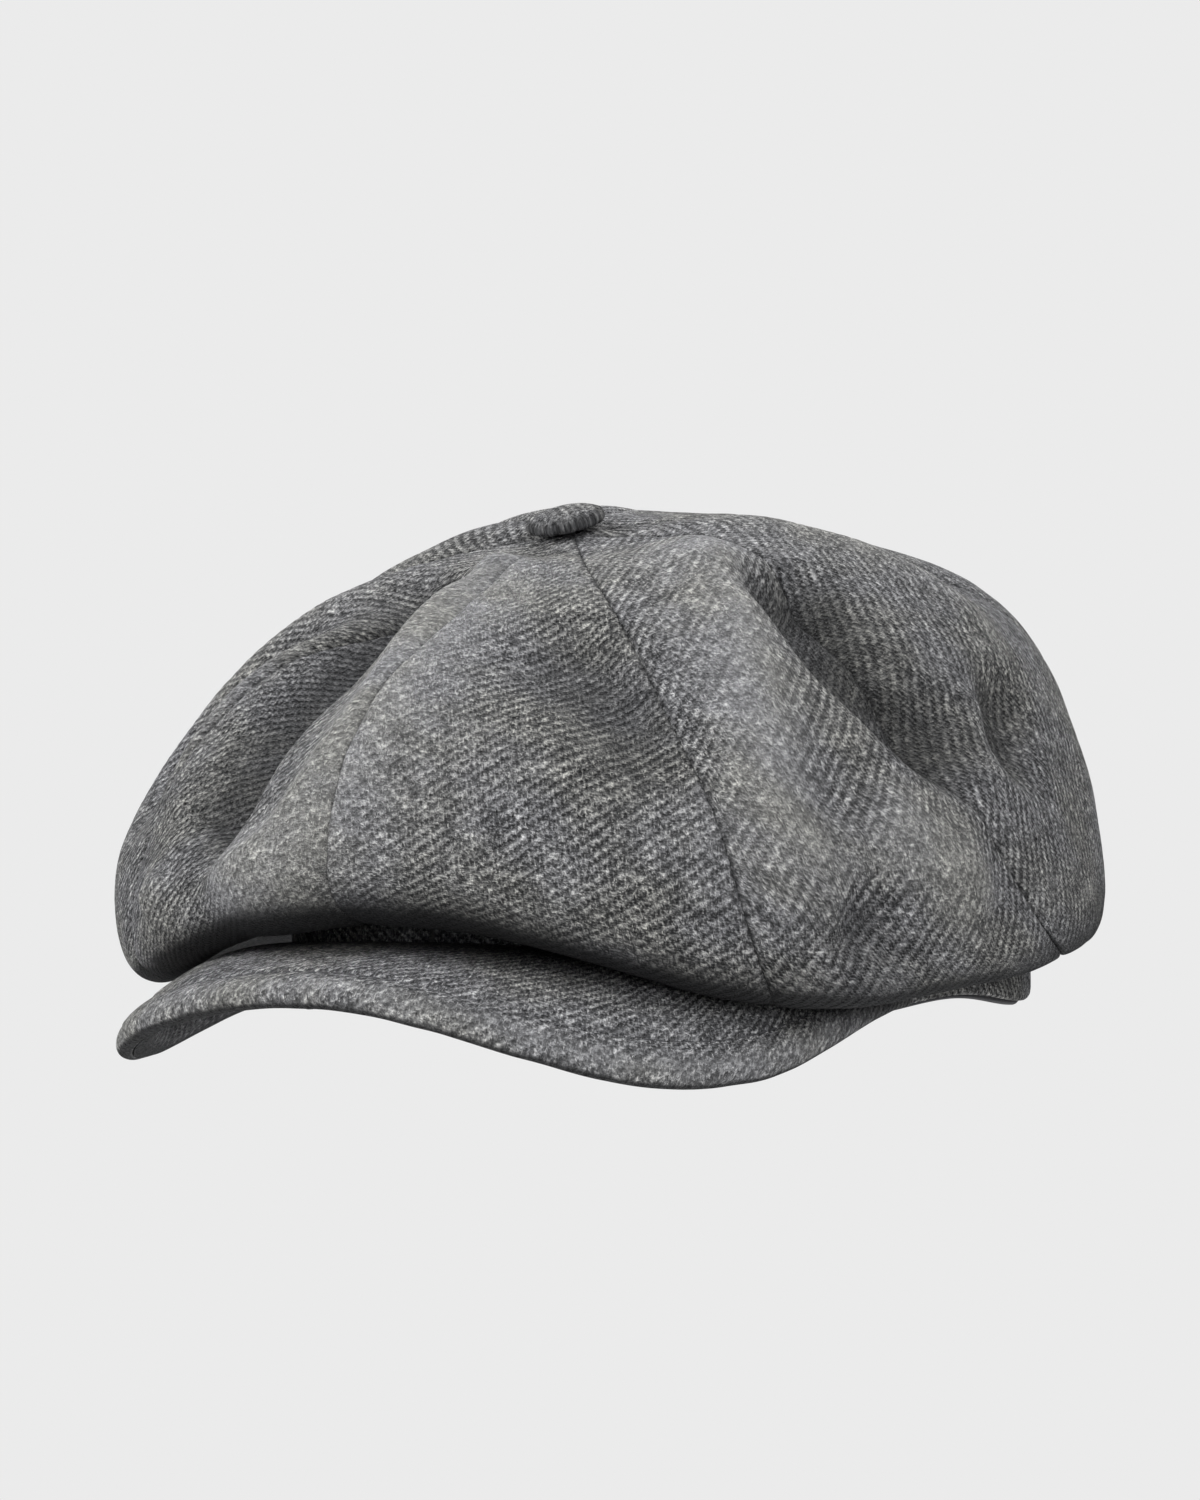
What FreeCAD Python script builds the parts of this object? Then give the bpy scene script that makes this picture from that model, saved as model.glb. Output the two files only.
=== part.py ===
# Eight-panel newsboy cap with a stiffened visor and a covered top button.
# Millimetres.  -Y is the front (visor), +X is the wearer's left, +Z is up.
# The origin is the centre of the head opening, on the headband's lower edge.
import FreeCAD, Part
import math, os
from FreeCAD import Vector as V

os.makedirs("parts", exist_ok=True)

# ---------------------------------------------------------------- dimensions
BAND_RX, BAND_RY = 85.5, 103.5     # outside of the headband, half width and half length
BAND_H = 28.0                      # headband height
WOOL_T = 1.8                       # wool cloth thickness
STIFF_T = 0.8                      # band stiffener tape
SWEAT_T = 1.2                      # sweatband
LAYER_GAP = 0.3                    # air between two cloth layers
SEAM_GAP = 0.30                    # gap between neighbouring gores along a seam
LINING_IN, LINING_T = 2.5, 0.8     # lining: depth under the wool face, thickness
CROWN_LIFT = 0.4                   # gores end this far above the headband's top edge

BUTTON_C = (0.0, -46.0, 111.5)     # where the eight seams meet
BUTTON_TILT = 22.0                 # degrees, the crown top leans forward
APEX_R = 4.0                       # small hole where the gores meet, under the button
BUTTON_R, BUTTON_H = 9.0, 5.2      # covered button
BUTTON_LIFT = 1.0                  # the button rides on its shank, clear of the cloth
SHANK_R = 1.5
DISC_R, DISC_HOLE_R = 8.0, 1.58

VISOR_GAP = 1.0                    # visor root to headband
VISOR_HALF_T = 2.9                 # half thickness of the finished visor
BOARD_HALF_T = 0.9                 # half thickness of the stiff board
VISOR_END_DEG = 68.0               # where the visor's ends meet the band, from the front

# Seam curves of the crown, apex to headband: front, front side, side, rear side, rear.
# The wearer's right side mirrors the left side.
S0 = [(0, -69.0, 97.0), (0, -90.0, 85.5), (0, -111.0, 73.0), (0, -129.0, 58.0),
      (0, -140.0, 41.0), (0, -141.5, 26.5), (0, -129.0, 19.0)]
S45 = [(18.5, -70.0, 99.5), (35.7, -89.1, 88.0), (53.0, -103.3, 71.5), (68.0, -111.7, 51.0),
       (77.0, -113.6, 28.5), (79.3, -107.4, 10.2), (74.2, -93.5, 7.2)]
S90 = [(34.0, -52.0, 109.3), (61.5, -58.5, 98.5), (84.6, -62.0, 78.5), (101.5, -59.0, 53.5),
       (111.0, -48.0, 31.0), (112.0, -30.0, 15.2), (103.8, -11.5, 12.6)]
S135 = [(26.3, -35.5, 117.0), (47.8, -14.7, 113.0), (66.6, 12.0, 105.0), (79.0, 38.6, 91.5),
        (83.0, 59.0, 70.0), (81.0, 71.0, 46.0), (74.0, 76.8, 29.5)]
S180 = [(0, -13.3, 117.7), (0, 20.2, 120.0), (0, 56.4, 118.8), (0, 89.0, 110.4),
        (0, 111.0, 91.6), (0, 118.5, 66.5), (0, 115.2, 42.5)]

# Visor outline, front centre to end: x, y, height of the visor's middle surface.
V_EDGE = [(0.0, -150.5, 7.6), (14.5, -150.1, 6.6), (27.5, -148.5, 4.05), (44.5, -143.2, -0.75),
          (58.3, -134.8, -5.4), (69.1, -123.0, -8.45), (76.6, -107.8, -8.4), (80.9, -89.5, -5.0),
          (82.3, -70.0, -0.3), (82.4, -53.0, 2.3), (81.2, -40.0, 3.1)]
V_ROOT_TOP, V_ROOT_END = 13.0, 3.2 # visor root height on the band, at the front and at its ends
V_ROOT_POW, V_CAMBER = 2.0, 1.7    # how the root arches, and how the visor turns down to its rim
BAND_ARCH, BAND_ARCH_X = 6.5, 62.0 # the band's lower edge rises this much at the front, over +-X


# ---------------------------------------------------------------- splines
def solve(A, B):
    n = len(B)
    M = [list(A[i]) + [B[i]] for i in range(n)]
    for i in range(n):
        p = max(range(i, n), key=lambda r: abs(M[r][i]))
        M[i], M[p] = M[p], M[i]
        for r in range(n):
            if r != i and M[r][i]:
                f = M[r][i] / M[i][i]
                M[r] = [a - f * b for a, b in zip(M[r], M[i])]
    return [M[i][n] / M[i][i] for i in range(n)]


def periodic(y):
    """Periodic cubic through len(y) equally spaced values, one period = len(y)."""
    n = len(y)
    A = [[0.0] * n for _ in range(n)]
    B = []
    for i in range(n):
        A[i][i] = 4.0
        A[i][(i - 1) % n] += 1.0
        A[i][(i + 1) % n] += 1.0
        B.append(6.0 * (y[(i - 1) % n] - 2 * y[i] + y[(i + 1) % n]))
    m = solve(A, B)

    def f(u):
        u = u % n
        i = int(u) % n
        s = u - int(u)
        j = (i + 1) % n
        return ((1 - s) * y[i] + s * y[j]
                + ((1 - s) ** 3 - (1 - s)) * m[i] / 6.0 + (s ** 3 - s) * m[j] / 6.0)
    return f


def natural(x, y):
    n = len(x)
    A = [[0.0] * n for _ in range(n)]
    B = [0.0] * n
    A[0][0] = A[n - 1][n - 1] = 1.0
    for i in range(1, n - 1):
        h0, h1 = x[i] - x[i - 1], x[i + 1] - x[i]
        A[i][i - 1], A[i][i], A[i][i + 1] = h0, 2 * (h0 + h1), h1
        B[i] = 6.0 * ((y[i + 1] - y[i]) / h1 - (y[i] - y[i - 1]) / h0)
    m = solve(A, B)

    def f(t):
        i = 0
        while i < n - 2 and t > x[i + 1]:
            i += 1
        h = x[i + 1] - x[i]
        a, b = (x[i + 1] - t) / h, (t - x[i]) / h
        return a * y[i] + b * y[i + 1] + ((a ** 3 - a) * m[i] + (b ** 3 - b) * m[i + 1]) * h * h / 6.0
    return f


# ---------------------------------------------------------------- crown surface
tilt = math.radians(BUTTON_TILT)
N_BTN = V(0, -math.sin(tilt), math.cos(tilt))
E_BTN = V(0, math.cos(tilt), math.sin(tilt))       # in the button plane, towards the rear


def seam_table():
    rows = []
    half = [S0, S45, S90, S135, S180]
    for k in range(9):
        row = []
        for m in range(8):
            a = m * math.pi / 4
            src = half[m] if m <= 4 else half[8 - m]
            sg = 1.0 if m <= 4 else -1.0
            if k == 0:
                c = V(*BUTTON_C)
                p = c + V(1, 0, 0) * (APEX_R * math.sin(a)) - E_BTN * (APEX_R * math.cos(a))
                row.append((p.x, p.y, p.z))
            elif k == 8:
                row.append((BAND_RX * math.sin(a), -BAND_RY * math.cos(a), BAND_H + CROWN_LIFT))
            else:
                x, y, z = src[k - 1]
                row.append((sg * x, y, z))
        rows.append(row)
    return rows


ROWS = seam_table()
RING = [[periodic([p[c] for p in row]) for c in range(3)] for row in ROWS]
L = [0.0]
for k in range(1, 9):
    L.append(L[-1] + sum(math.dist(ROWS[k][m], ROWS[k - 1][m]) for m in range(8)) / 8.0)
LT = L[-1]
_mer = {}


def meridian(u):
    """u counts seams, 0 at the front, 2 at the wearer's left, 8 once round."""
    key = round(u, 6)
    if key not in _mer:
        pts = [[f(u) for f in r] for r in RING]
        _mer[key] = [natural(L, [p[c] for p in pts]) for c in range(3)]
    return _mer[key]


def S(u, t):
    m = meridian(u)
    return V(m[0](t), m[1](t), m[2](t))


def normal(u, t):
    du, dt = 0.02, 0.5
    a = S(u + du, t) - S(u - du, t)
    t0, t1 = max(0, t - dt), min(LT, t + dt)
    b = S(u, t1) - S(u, t0)
    n = a.cross(b)
    n.normalize()
    return n


CENTRE = V(0, -15, 60)
_s = normal(2, LT * 0.5)
SIGN = 1.0 if _s.dot(S(2, LT * 0.5) - CENTRE) > 0 else -1.0


def crown_pt(u, t, depth):
    return S(u, t) - normal(u, t) * (SIGN * depth)


# ---------------------------------------------------------------- solids
def poles_of(line):
    """Control points whose uniform cubic runs through the points closely and never swings."""
    out = list(line)
    for i in range(2, len(line) - 2):
        out[i] = line[i] - (line[i - 1] - line[i] * 2.0 + line[i + 1]) * (1.0 / 6.0)
    return out


def surf(grid):
    """Bicubic surface that follows a grid of points."""
    net = [poles_of(row) for row in grid]
    net = [list(r) for r in zip(*[poles_of(list(c)) for c in zip(*net)])]
    nr, nc = len(net), len(net[0])

    def knots(n):
        return [4] + [1] * (n - 4) + [4], [float(i) for i in range(n - 2)]
    mu, ku = knots(nr)
    mv, kv = knots(nc)
    s = Part.BSplineSurface()
    s.buildFromPolesMultsKnots(net, mu, mv, ku, kv, False, False, 3, 3)
    return s


def borders(s):
    u0, u1, v0, v1 = s.bounds()
    return [s.uIso(u0), s.uIso(u1), s.vIso(v0), s.vIso(v1)]


def slab(outer, inner, name):
    """Closed solid between two point grids of the same size."""
    so, si = surf(outer), surf(inner)
    faces = [so.toShape(), si.toShape()]
    for a, b in zip(borders(so), borders(si)):
        faces.append(Part.makeRuledSurface(a.toShape(), b.toShape(), 1))
    shell = Part.makeShell(faces)
    shell.sewShape(1e-4)
    if shell.ShapeType != "Shell":
        shell = shell.Shells[0]
    sol = Part.makeSolid(shell)
    if sol.Volume < 0:
        sol.reverse()
    print("%-30s valid %s closed %s vol %.0f" % (name, sol.isValid(), shell.isClosed(), sol.Volume))
    return sol


PARTS = {}


def ts(n):
    return [LT * i / (n - 1) for i in range(n)]


def gore(u0, u1, d0, d1, nt, nu, name, gap):
    outer, inner = [], []
    for t in ts(nt):
        ro, ri = [], []
        for i in range(nu):
            u = u0 + (u1 - u0) * i / (nu - 1)
            if i in (0, nu - 1):
                w = (S(u + 0.01, t) - S(u - 0.01, t)).Length / 0.02
                u += (gap / 2 / w) * (1 if i == 0 else -1)
            ro.append(crown_pt(u, t, d0))
            ri.append(crown_pt(u, t, d1))
        outer.append(ro)
        inner.append(ri)
    PARTS[name] = slab(outer, inner, name)


PANELS = ["crown_panel_front_left", "crown_panel_side_front_left", "crown_panel_side_rear_left",
          "crown_panel_rear_left", "crown_panel_rear_right", "crown_panel_side_rear_right",
          "crown_panel_side_front_right", "crown_panel_front_right"]
for m, nm in enumerate(PANELS):
    gore(m, m + 1, 0.0, WOOL_T, 57, 13, nm, SEAM_GAP)
LININGS = ["lining_gore_front_left", "lining_gore_rear_left", "lining_gore_rear_right",
           "lining_gore_front_right"]
for m, nm in enumerate(LININGS):
    gore(2 * m, 2 * m + 2, LINING_IN, LINING_IN + LINING_T, 57, 25, nm, SEAM_GAP)


# Headband layers: elliptical rings standing on z = 0, their lower edge arched over the front.
def arch(z0):
    pts = []
    for i in range(33):
        x = -BAND_ARCH_X + 2 * BAND_ARCH_X * i / 32
        pts.append(V(x, 0, z0 + BAND_ARCH * (1 - (x / BAND_ARCH_X) ** 2) ** 2))
    c = Part.BSplineCurve()
    c.interpolate(pts)
    low = Part.makePolygon([pts[-1], V(BAND_ARCH_X, 0, z0 - 6), V(-BAND_ARCH_X, 0, z0 - 6), pts[0]])
    face = Part.Face(Part.Wire([c.toShape()] + low.Edges))
    return face.extrude(V(0, -140, 0))


def ring(rx, ry, t, z0, z1, name):
    def wire(a, b):
        # the long axis of the ellipse lies along Y
        el = Part.Ellipse(V(0, b, z0), V(a, 0, z0), V(0, 0, z0))
        return Part.Wire([el.toShape()])
    body = Part.Face(wire(rx, ry)).extrude(V(0, 0, z1 - z0))
    hole = Part.Face(wire(rx - t, ry - t)).extrude(V(0, 0, z1 - z0))
    sol = body.cut(hole).cut(arch(z0))
    sol = sol.Solids[0]
    print(name, "valid", sol.isValid(), "vol %.0f" % sol.Volume)
    PARTS[name] = sol


r = 0.0
ring(BAND_RX, BAND_RY, WOOL_T, 0.0, BAND_H, "headband")
r += WOOL_T + LAYER_GAP
ring(BAND_RX - r, BAND_RY - r, STIFF_T, 1.0, BAND_H - 1.0, "band_stiffener")
r += STIFF_T + LAYER_GAP
ring(BAND_RX - r, BAND_RY - r, SWEAT_T, 0.0, BAND_H, "sweatband")
HEAD_RX, HEAD_RY = BAND_RX - r - SWEAT_T, BAND_RY - r - SWEAT_T
h = ((HEAD_RX - HEAD_RY) / (HEAD_RX + HEAD_RY)) ** 2
print("head opening %.1f x %.1f, girth %.0f" % (2 * HEAD_RX, 2 * HEAD_RY,
      math.pi * (HEAD_RX + HEAD_RY) * (1 + 3 * h / (10 + math.sqrt(4 - 3 * h)))))

# ---------------------------------------------------------------- visor
_l = [0.0]
for a, b in zip(V_EDGE[:-1], V_EDGE[1:]):
    _l.append(_l[-1] + math.dist(a, b))
# mirrored about the middle so that the outline is smooth across the front
_x = [-v for v in reversed(_l[1:])] + _l
_p = [(-p[0], p[1], p[2]) for p in reversed(V_EDGE[1:])] + V_EDGE
EDGE = [natural(_x, [p[c] for p in _p]) for c in range(3)]


def v_root(q):
    a = math.radians(VISOR_END_DEG) * q
    return V((BAND_RX + VISOR_GAP) * math.sin(a), -(BAND_RY + VISOR_GAP) * math.cos(a),
             V_ROOT_END + (V_ROOT_TOP - V_ROOT_END) * max(0.0, 1 - q * q) ** V_ROOT_POW)


def v_edge(q):
    t = _l[-1] * q
    return V(EDGE[0](t), EDGE[1](t), EDGE[2](t))


def v_mid(q, s):
    """q -1..1 along the visor, s 0 at the root to 1 at the rim, with a slight crown across."""
    a, b = v_root(q), v_edge(q)
    p = a + (b - a) * s
    p.z = a.z + (b.z - a.z) * s ** V_CAMBER + 0.02 * (b - a).Length * 4 * s * (1 - s)
    return p


def v_normal(q, s):
    e = 0.01
    q0, q1 = max(-1, q - e), min(1, q + e)
    s0, s1 = max(0, s - e), min(1, s + e)
    n = (v_mid(q1, s) - v_mid(q0, s)).cross(v_mid(q, s1) - v_mid(q, s0))
    n.normalize()
    return n if n.z > 0 else n * -1.0


def v_across(q, s):
    """Thickness direction: upright at the root, square to the visor further out."""
    k = min(1.0, s / 0.6)
    k = k * k * (3 - 2 * k)
    n = v_normal(q, s) * k + V(0, 0, 1) * (1 - k)
    n.normalize()
    return n


def taper(q):
    a = abs(q)
    return 1.0 if a < 0.7 else 1.0 - 0.62 * ((a - 0.7) / 0.3) ** 1.5


RIM_S = [0.0, 0.16, 0.32, 0.48, 0.62, 0.74, 0.84, 0.92, 0.97, 1.0]


def v_grid(sgn, kind):
    """kind: outer cloth face or inner cloth face of a visor cover."""
    q_n, grid = 57, []
    for i in range(q_n):
        q = -1 + 2 * i / (q_n - 1)
        w = (v_edge(q) - v_root(q)).Length
        tp = taper(q)
        row = []
        for s in RIM_S:
            d = w * (1 - s)                       # distance in from the rim
            if kind == "outer":
                x = max(0.0, 1 - d / (VISOR_HALF_T * 1.25 * tp))
                hgt = tp * (0.8 + (VISOR_HALF_T - 0.8) * math.sqrt(max(0.0, 1 - x * x)))
            else:
                x = min(1.0, max(0.0, (d - 0.8) / 3.0))
                x = x * x * (3 - 2 * x)
                hgt = 0.30 + (tp * (BOARD_HALF_T + 0.45) - 0.30) * x
            row.append(v_mid(q, s) + v_across(q, s) * (sgn * hgt))
        grid.append(row)
    return grid


PARTS["visor_top_cover"] = slab(v_grid(1, "outer"), v_grid(1, "inner"), "visor_top_cover")
PARTS["visor_under_cover"] = slab(v_grid(-1, "outer"), v_grid(-1, "inner"), "visor_under_cover")


def v_board_grid(sgn):
    q_n, grid = 45, []
    for i in range(q_n):
        q = (-1 + 2 * i / (q_n - 1)) * 0.80
        w = (v_edge(q) - v_root(q)).Length
        tp = taper(q)
        s0, s1 = 1.6 / w, 1 - 5.2 / w
        row = []
        for j in range(10):
            s = s0 + (s1 - s0) * j / 9.0
            row.append(v_mid(q, s) + v_across(q, s) * (sgn * tp * BOARD_HALF_T))
        grid.append(row)
    return grid


PARTS["visor_board"] = slab(v_board_grid(1), v_board_grid(-1), "visor_board")


# ---------------------------------------------------------------- button
def revolve(profile, name):
    """Profile points (r, z) in the button's own frame, closed, turned about the button axis."""
    pts = [V(r_, 0, z_) for r_, z_ in profile]
    w = Part.makePolygon(pts + [pts[0]])
    return Part.Face(w).revolve(V(0, 0, 0), V(0, 0, 1), 360)


def dome(r_rim, z_rim, z_top, n=12):
    """Points from the top centre down to the rim of a flattened dome."""
    return [(r_rim * math.sin(i / n * math.pi / 2),
             z_rim + (z_top - z_rim) * math.cos(i / n * math.pi / 2)) for i in range(n + 1)]


PLACE = FreeCAD.Placement(V(*BUTTON_C), FreeCAD.Rotation(V(0, 0, 1), N_BTN))


def put(shape, name, lift=0.0):
    shape = shape.copy()
    shape.translate(V(0, 0, lift))
    shape.Placement = PLACE.multiply(shape.Placement)
    if shape.ShapeType != "Solid" and shape.Solids:
        shape = shape.Solids[0]
    print(name, "valid", shape.isValid(), "vol %.1f" % shape.Volume)
    PARTS[name] = shape


cover = dome(BUTTON_R, 1.9, BUTTON_H) + [(BUTTON_R - 0.35, 0.75), (7.9, 0.6), (7.9, 1.3)] \
    + list(reversed(dome(BUTTON_R - 0.9, 1.9, BUTTON_H - 0.9)))
put(revolve(cover, "button_cover"), "button_cover", BUTTON_LIFT)
shell = dome(7.9, 1.9, 4.1) + list(reversed(dome(7.2, 1.9, 3.4)))
put(revolve(shell, "button_shell"), "button_shell", BUTTON_LIFT)
put(Part.makeCylinder(6.9, 0.7, V(0, 0, 1.0)), "button_back", BUTTON_LIFT)
put(Part.makeCylinder(SHANK_R, 6.8 + BUTTON_LIFT, V(0, 0, -5.9)), "button_shank")
disc = Part.makeCylinder(DISC_R, 0.8, V(0, 0, -5.9)).cut(
    Part.makeCylinder(DISC_HOLE_R, 2.0, V(0, 0, -6.5)))
put(disc, "button_backing_disc")

# ---------------------------------------------------------------- write
for nm, sh in PARTS.items():
    sh.exportStep("parts/" + nm + ".step")
bb = None
for sh in PARTS.values():
    if bb is None:
        bb = FreeCAD.BoundBox(sh.BoundBox)
    else:
        bb.add(sh.BoundBox)
print("nodes", len(PARTS), "box %.1f..%.1f  %.1f..%.1f  %.1f..%.1f" % (
    bb.XMin, bb.XMax, bb.YMin, bb.YMax, bb.ZMin, bb.ZMax))
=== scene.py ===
import bpy, math
import numpy as np
from mathutils import Vector, Matrix


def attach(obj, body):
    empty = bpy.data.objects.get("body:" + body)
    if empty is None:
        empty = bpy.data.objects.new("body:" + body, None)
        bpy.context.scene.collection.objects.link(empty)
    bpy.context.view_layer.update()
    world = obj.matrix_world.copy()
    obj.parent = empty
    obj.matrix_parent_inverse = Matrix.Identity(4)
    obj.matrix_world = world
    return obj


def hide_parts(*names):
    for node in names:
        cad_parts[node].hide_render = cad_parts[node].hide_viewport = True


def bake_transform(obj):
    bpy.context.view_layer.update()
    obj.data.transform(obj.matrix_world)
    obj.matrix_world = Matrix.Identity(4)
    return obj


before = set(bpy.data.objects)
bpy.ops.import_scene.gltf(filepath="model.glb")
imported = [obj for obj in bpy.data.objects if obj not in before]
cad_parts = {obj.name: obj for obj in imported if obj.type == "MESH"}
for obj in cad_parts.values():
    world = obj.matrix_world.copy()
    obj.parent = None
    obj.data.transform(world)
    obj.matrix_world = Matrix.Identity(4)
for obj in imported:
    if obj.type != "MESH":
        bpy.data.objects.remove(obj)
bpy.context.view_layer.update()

MM = 0.001
rng = np.random.default_rng(7)

# ------------------------------------------------------------------ dimensions (as in the CAD)
BAND_RX, BAND_RY, BAND_H = 85.5, 103.5, 28.0
WOOL_T, STIFF_T, SWEAT_T, LAYER_GAP = 1.8, 0.8, 1.2, 0.3
CROWN_LIFT = 0.4
BUTTON_C = np.array([0.0, -46.0, 111.5])
TILT = math.radians(22.0)
APEX_R = 4.0
VISOR_GAP, VISOR_HALF_T, VISOR_END_DEG = 1.0, 2.9, 68.0
S0 = [(0, -69.0, 97.0), (0, -90.0, 85.5), (0, -111.0, 73.0), (0, -129.0, 58.0),
      (0, -140.0, 41.0), (0, -141.5, 26.5), (0, -129.0, 19.0)]
S45 = [(18.5, -70.0, 99.5), (35.7, -89.1, 88.0), (53.0, -103.3, 71.5), (68.0, -111.7, 51.0),
       (77.0, -113.6, 28.5), (79.3, -107.4, 10.2), (74.2, -93.5, 7.2)]
S90 = [(34.0, -52.0, 109.3), (61.5, -58.5, 98.5), (84.6, -62.0, 78.5), (101.5, -59.0, 53.5),
       (111.0, -48.0, 31.0), (112.0, -30.0, 15.2), (103.8, -11.5, 12.6)]
S135 = [(26.3, -35.5, 117.0), (47.8, -14.7, 113.0), (66.6, 12.0, 105.0), (79.0, 38.6, 91.5),
        (83.0, 59.0, 70.0), (81.0, 71.0, 46.0), (74.0, 76.8, 29.5)]
S180 = [(0, -13.3, 117.7), (0, 20.2, 120.0), (0, 56.4, 118.8), (0, 89.0, 110.4),
        (0, 111.0, 91.6), (0, 118.5, 66.5), (0, 115.2, 42.5)]
V_EDGE = [(0.0, -150.5, 7.6), (14.5, -150.1, 6.6), (27.5, -148.5, 4.05), (44.5, -143.2, -0.75),
          (58.3, -134.8, -5.4), (69.1, -123.0, -8.45), (76.6, -107.8, -8.4), (80.9, -89.5, -5.0),
          (82.3, -70.0, -0.3), (82.4, -53.0, 2.3), (81.2, -40.0, 3.1)]
V_ROOT_TOP, V_ROOT_END, V_ROOT_POW, V_CAMBER = 15.6, 3.2, 1.5, 2.1
BAND_ARCH, BAND_ARCH_X = 7.5, 76.0

E_BTN = np.array([0, math.cos(TILT), math.sin(TILT)])
N_BTN = np.array([0, -math.sin(TILT), math.cos(TILT)])
X_AX = np.array([1.0, 0, 0])


def smooth(x, a=0.0, b=1.0):
    x = np.clip((x - a) / (b - a), 0, 1)
    return x * x * (3 - 2 * x)


# ------------------------------------------------------------------ crown surface
ROWS = np.zeros((9, 8, 3))
for m_ in range(8):
    a_ = m_ * math.pi / 4
    src_ = [S0, S45, S90, S135, S180][m_ if m_ <= 4 else 8 - m_]
    sg_ = 1 if m_ <= 4 else -1
    ROWS[0, m_] = BUTTON_C + X_AX * APEX_R * math.sin(a_) - E_BTN * APEX_R * math.cos(a_)
    for k_ in range(7):
        ROWS[k_ + 1, m_] = (sg_ * src_[k_][0], src_[k_][1], src_[k_][2])
    ROWS[8, m_] = (BAND_RX * math.sin(a_), -BAND_RY * math.cos(a_), BAND_H + CROWN_LIFT)
_A = np.zeros((8, 8))
for i_ in range(8):
    _A[i_, i_] = 4
    _A[i_, (i_ + 1) % 8] += 1
    _A[i_, (i_ - 1) % 8] += 1
_M = np.einsum('ij,kjc->kic', np.linalg.inv(_A),
               6 * (np.roll(ROWS, 1, 1) - 2 * ROWS + np.roll(ROWS, -1, 1)))
L = np.concatenate([[0], np.cumsum(np.linalg.norm(np.diff(ROWS, axis=0), axis=2).mean(1))])
LT = float(L[-1])
_B = np.zeros((9, 9))
_B[0, 0] = _B[8, 8] = 1
for i_ in range(1, 8):
    _h0, _h1 = L[i_] - L[i_ - 1], L[i_ + 1] - L[i_]
    _B[i_, i_ - 1:i_ + 2] = (_h0, 2 * (_h0 + _h1), _h1)
_BI = np.linalg.inv(_B)


def ring_pts(u):
    f = np.floor(u)
    i = f.astype(int) % 8
    j = (i + 1) % 8
    s = (u - f)[..., None]
    return ((1 - s) * ROWS[:, i] + s * ROWS[:, j] + ((1 - s) ** 3 - (1 - s)) * _M[:, i] / 6
            + (s ** 3 - s) * _M[:, j] / 6)


def S(u, t):
    u, t = np.broadcast_arrays(np.asarray(u, float), np.asarray(t, float))
    R = ring_pts(u)
    h = np.diff(L).reshape((8,) + (1,) * (R.ndim - 1))
    B = np.zeros_like(R)
    B[1:-1] = 6 * ((R[2:] - R[1:-1]) / h[1:] - (R[1:-1] - R[:-2]) / h[:-1])
    m = np.einsum('ij,j...->i...', _BI, B)
    i = np.clip(np.searchsorted(L, t, side='right') - 1, 0, 7)
    hh = (L[i + 1] - L[i])[..., None]
    a, b = (L[i + 1] - t)[..., None] / hh, (t - L[i])[..., None] / hh

    def pick(X, k):
        return np.take_along_axis(X, np.broadcast_to(k[None, ..., None], (1,) + k.shape + (3,)), 0)[0]
    return (a * pick(R, i) + b * pick(R, i + 1)
            + ((a ** 3 - a) * pick(m, i) + (b ** 3 - b) * pick(m, i + 1)) * hh * hh / 6)


def unit(v):
    return v / (np.linalg.norm(v, axis=-1, keepdims=True) + 1e-12)


def N(u, t):
    """Outward normal of the crown surface."""
    t0, t1 = np.clip(t - 0.6, 0, LT), np.clip(t + 0.6, 0, LT)
    du = S(u + 0.02, t) - S(u - 0.02, t)
    dt = S(u, t1) - S(u, t0)
    return unit(np.cross(dt, du)) * SIGN


SIGN = 1.0
_n = N(np.array([2.0]), np.array([LT * 0.5]))[0]
SIGN = 1.0 if _n @ (S(np.array([2.0]), np.array([LT * 0.5]))[0] - np.array([0, -15, 60])) > 0 else -1.0

# ------------------------------------------------------------------ seeded smooth noise
_LAT = np.random.default_rng(11).random((64, 64, 64)).astype(np.float32) * 2 - 1


def vnoise(P, scale, seed=0):
    """Smooth noise in -1..1 of points P (mm), with features about `scale` mm across."""
    Q = P / scale + np.array([13.7, 5.1, 29.3]) * (seed + 1)
    f = np.floor(Q)
    s = Q - f
    s = s * s * s * (s * (s * 6 - 15) + 10)
    i = f.astype(int)
    out = 0
    for dx in (0, 1):
        for dy in (0, 1):
            for dz in (0, 1):
                w = (np.where(dx, s[..., 0], 1 - s[..., 0]) * np.where(dy, s[..., 1], 1 - s[..., 1])
                     * np.where(dz, s[..., 2], 1 - s[..., 2]))
                out = out + w * _LAT[(i[..., 0] + dx) % 64, (i[..., 1] + dy) % 64, (i[..., 2] + dz) % 64]
    return out


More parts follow.
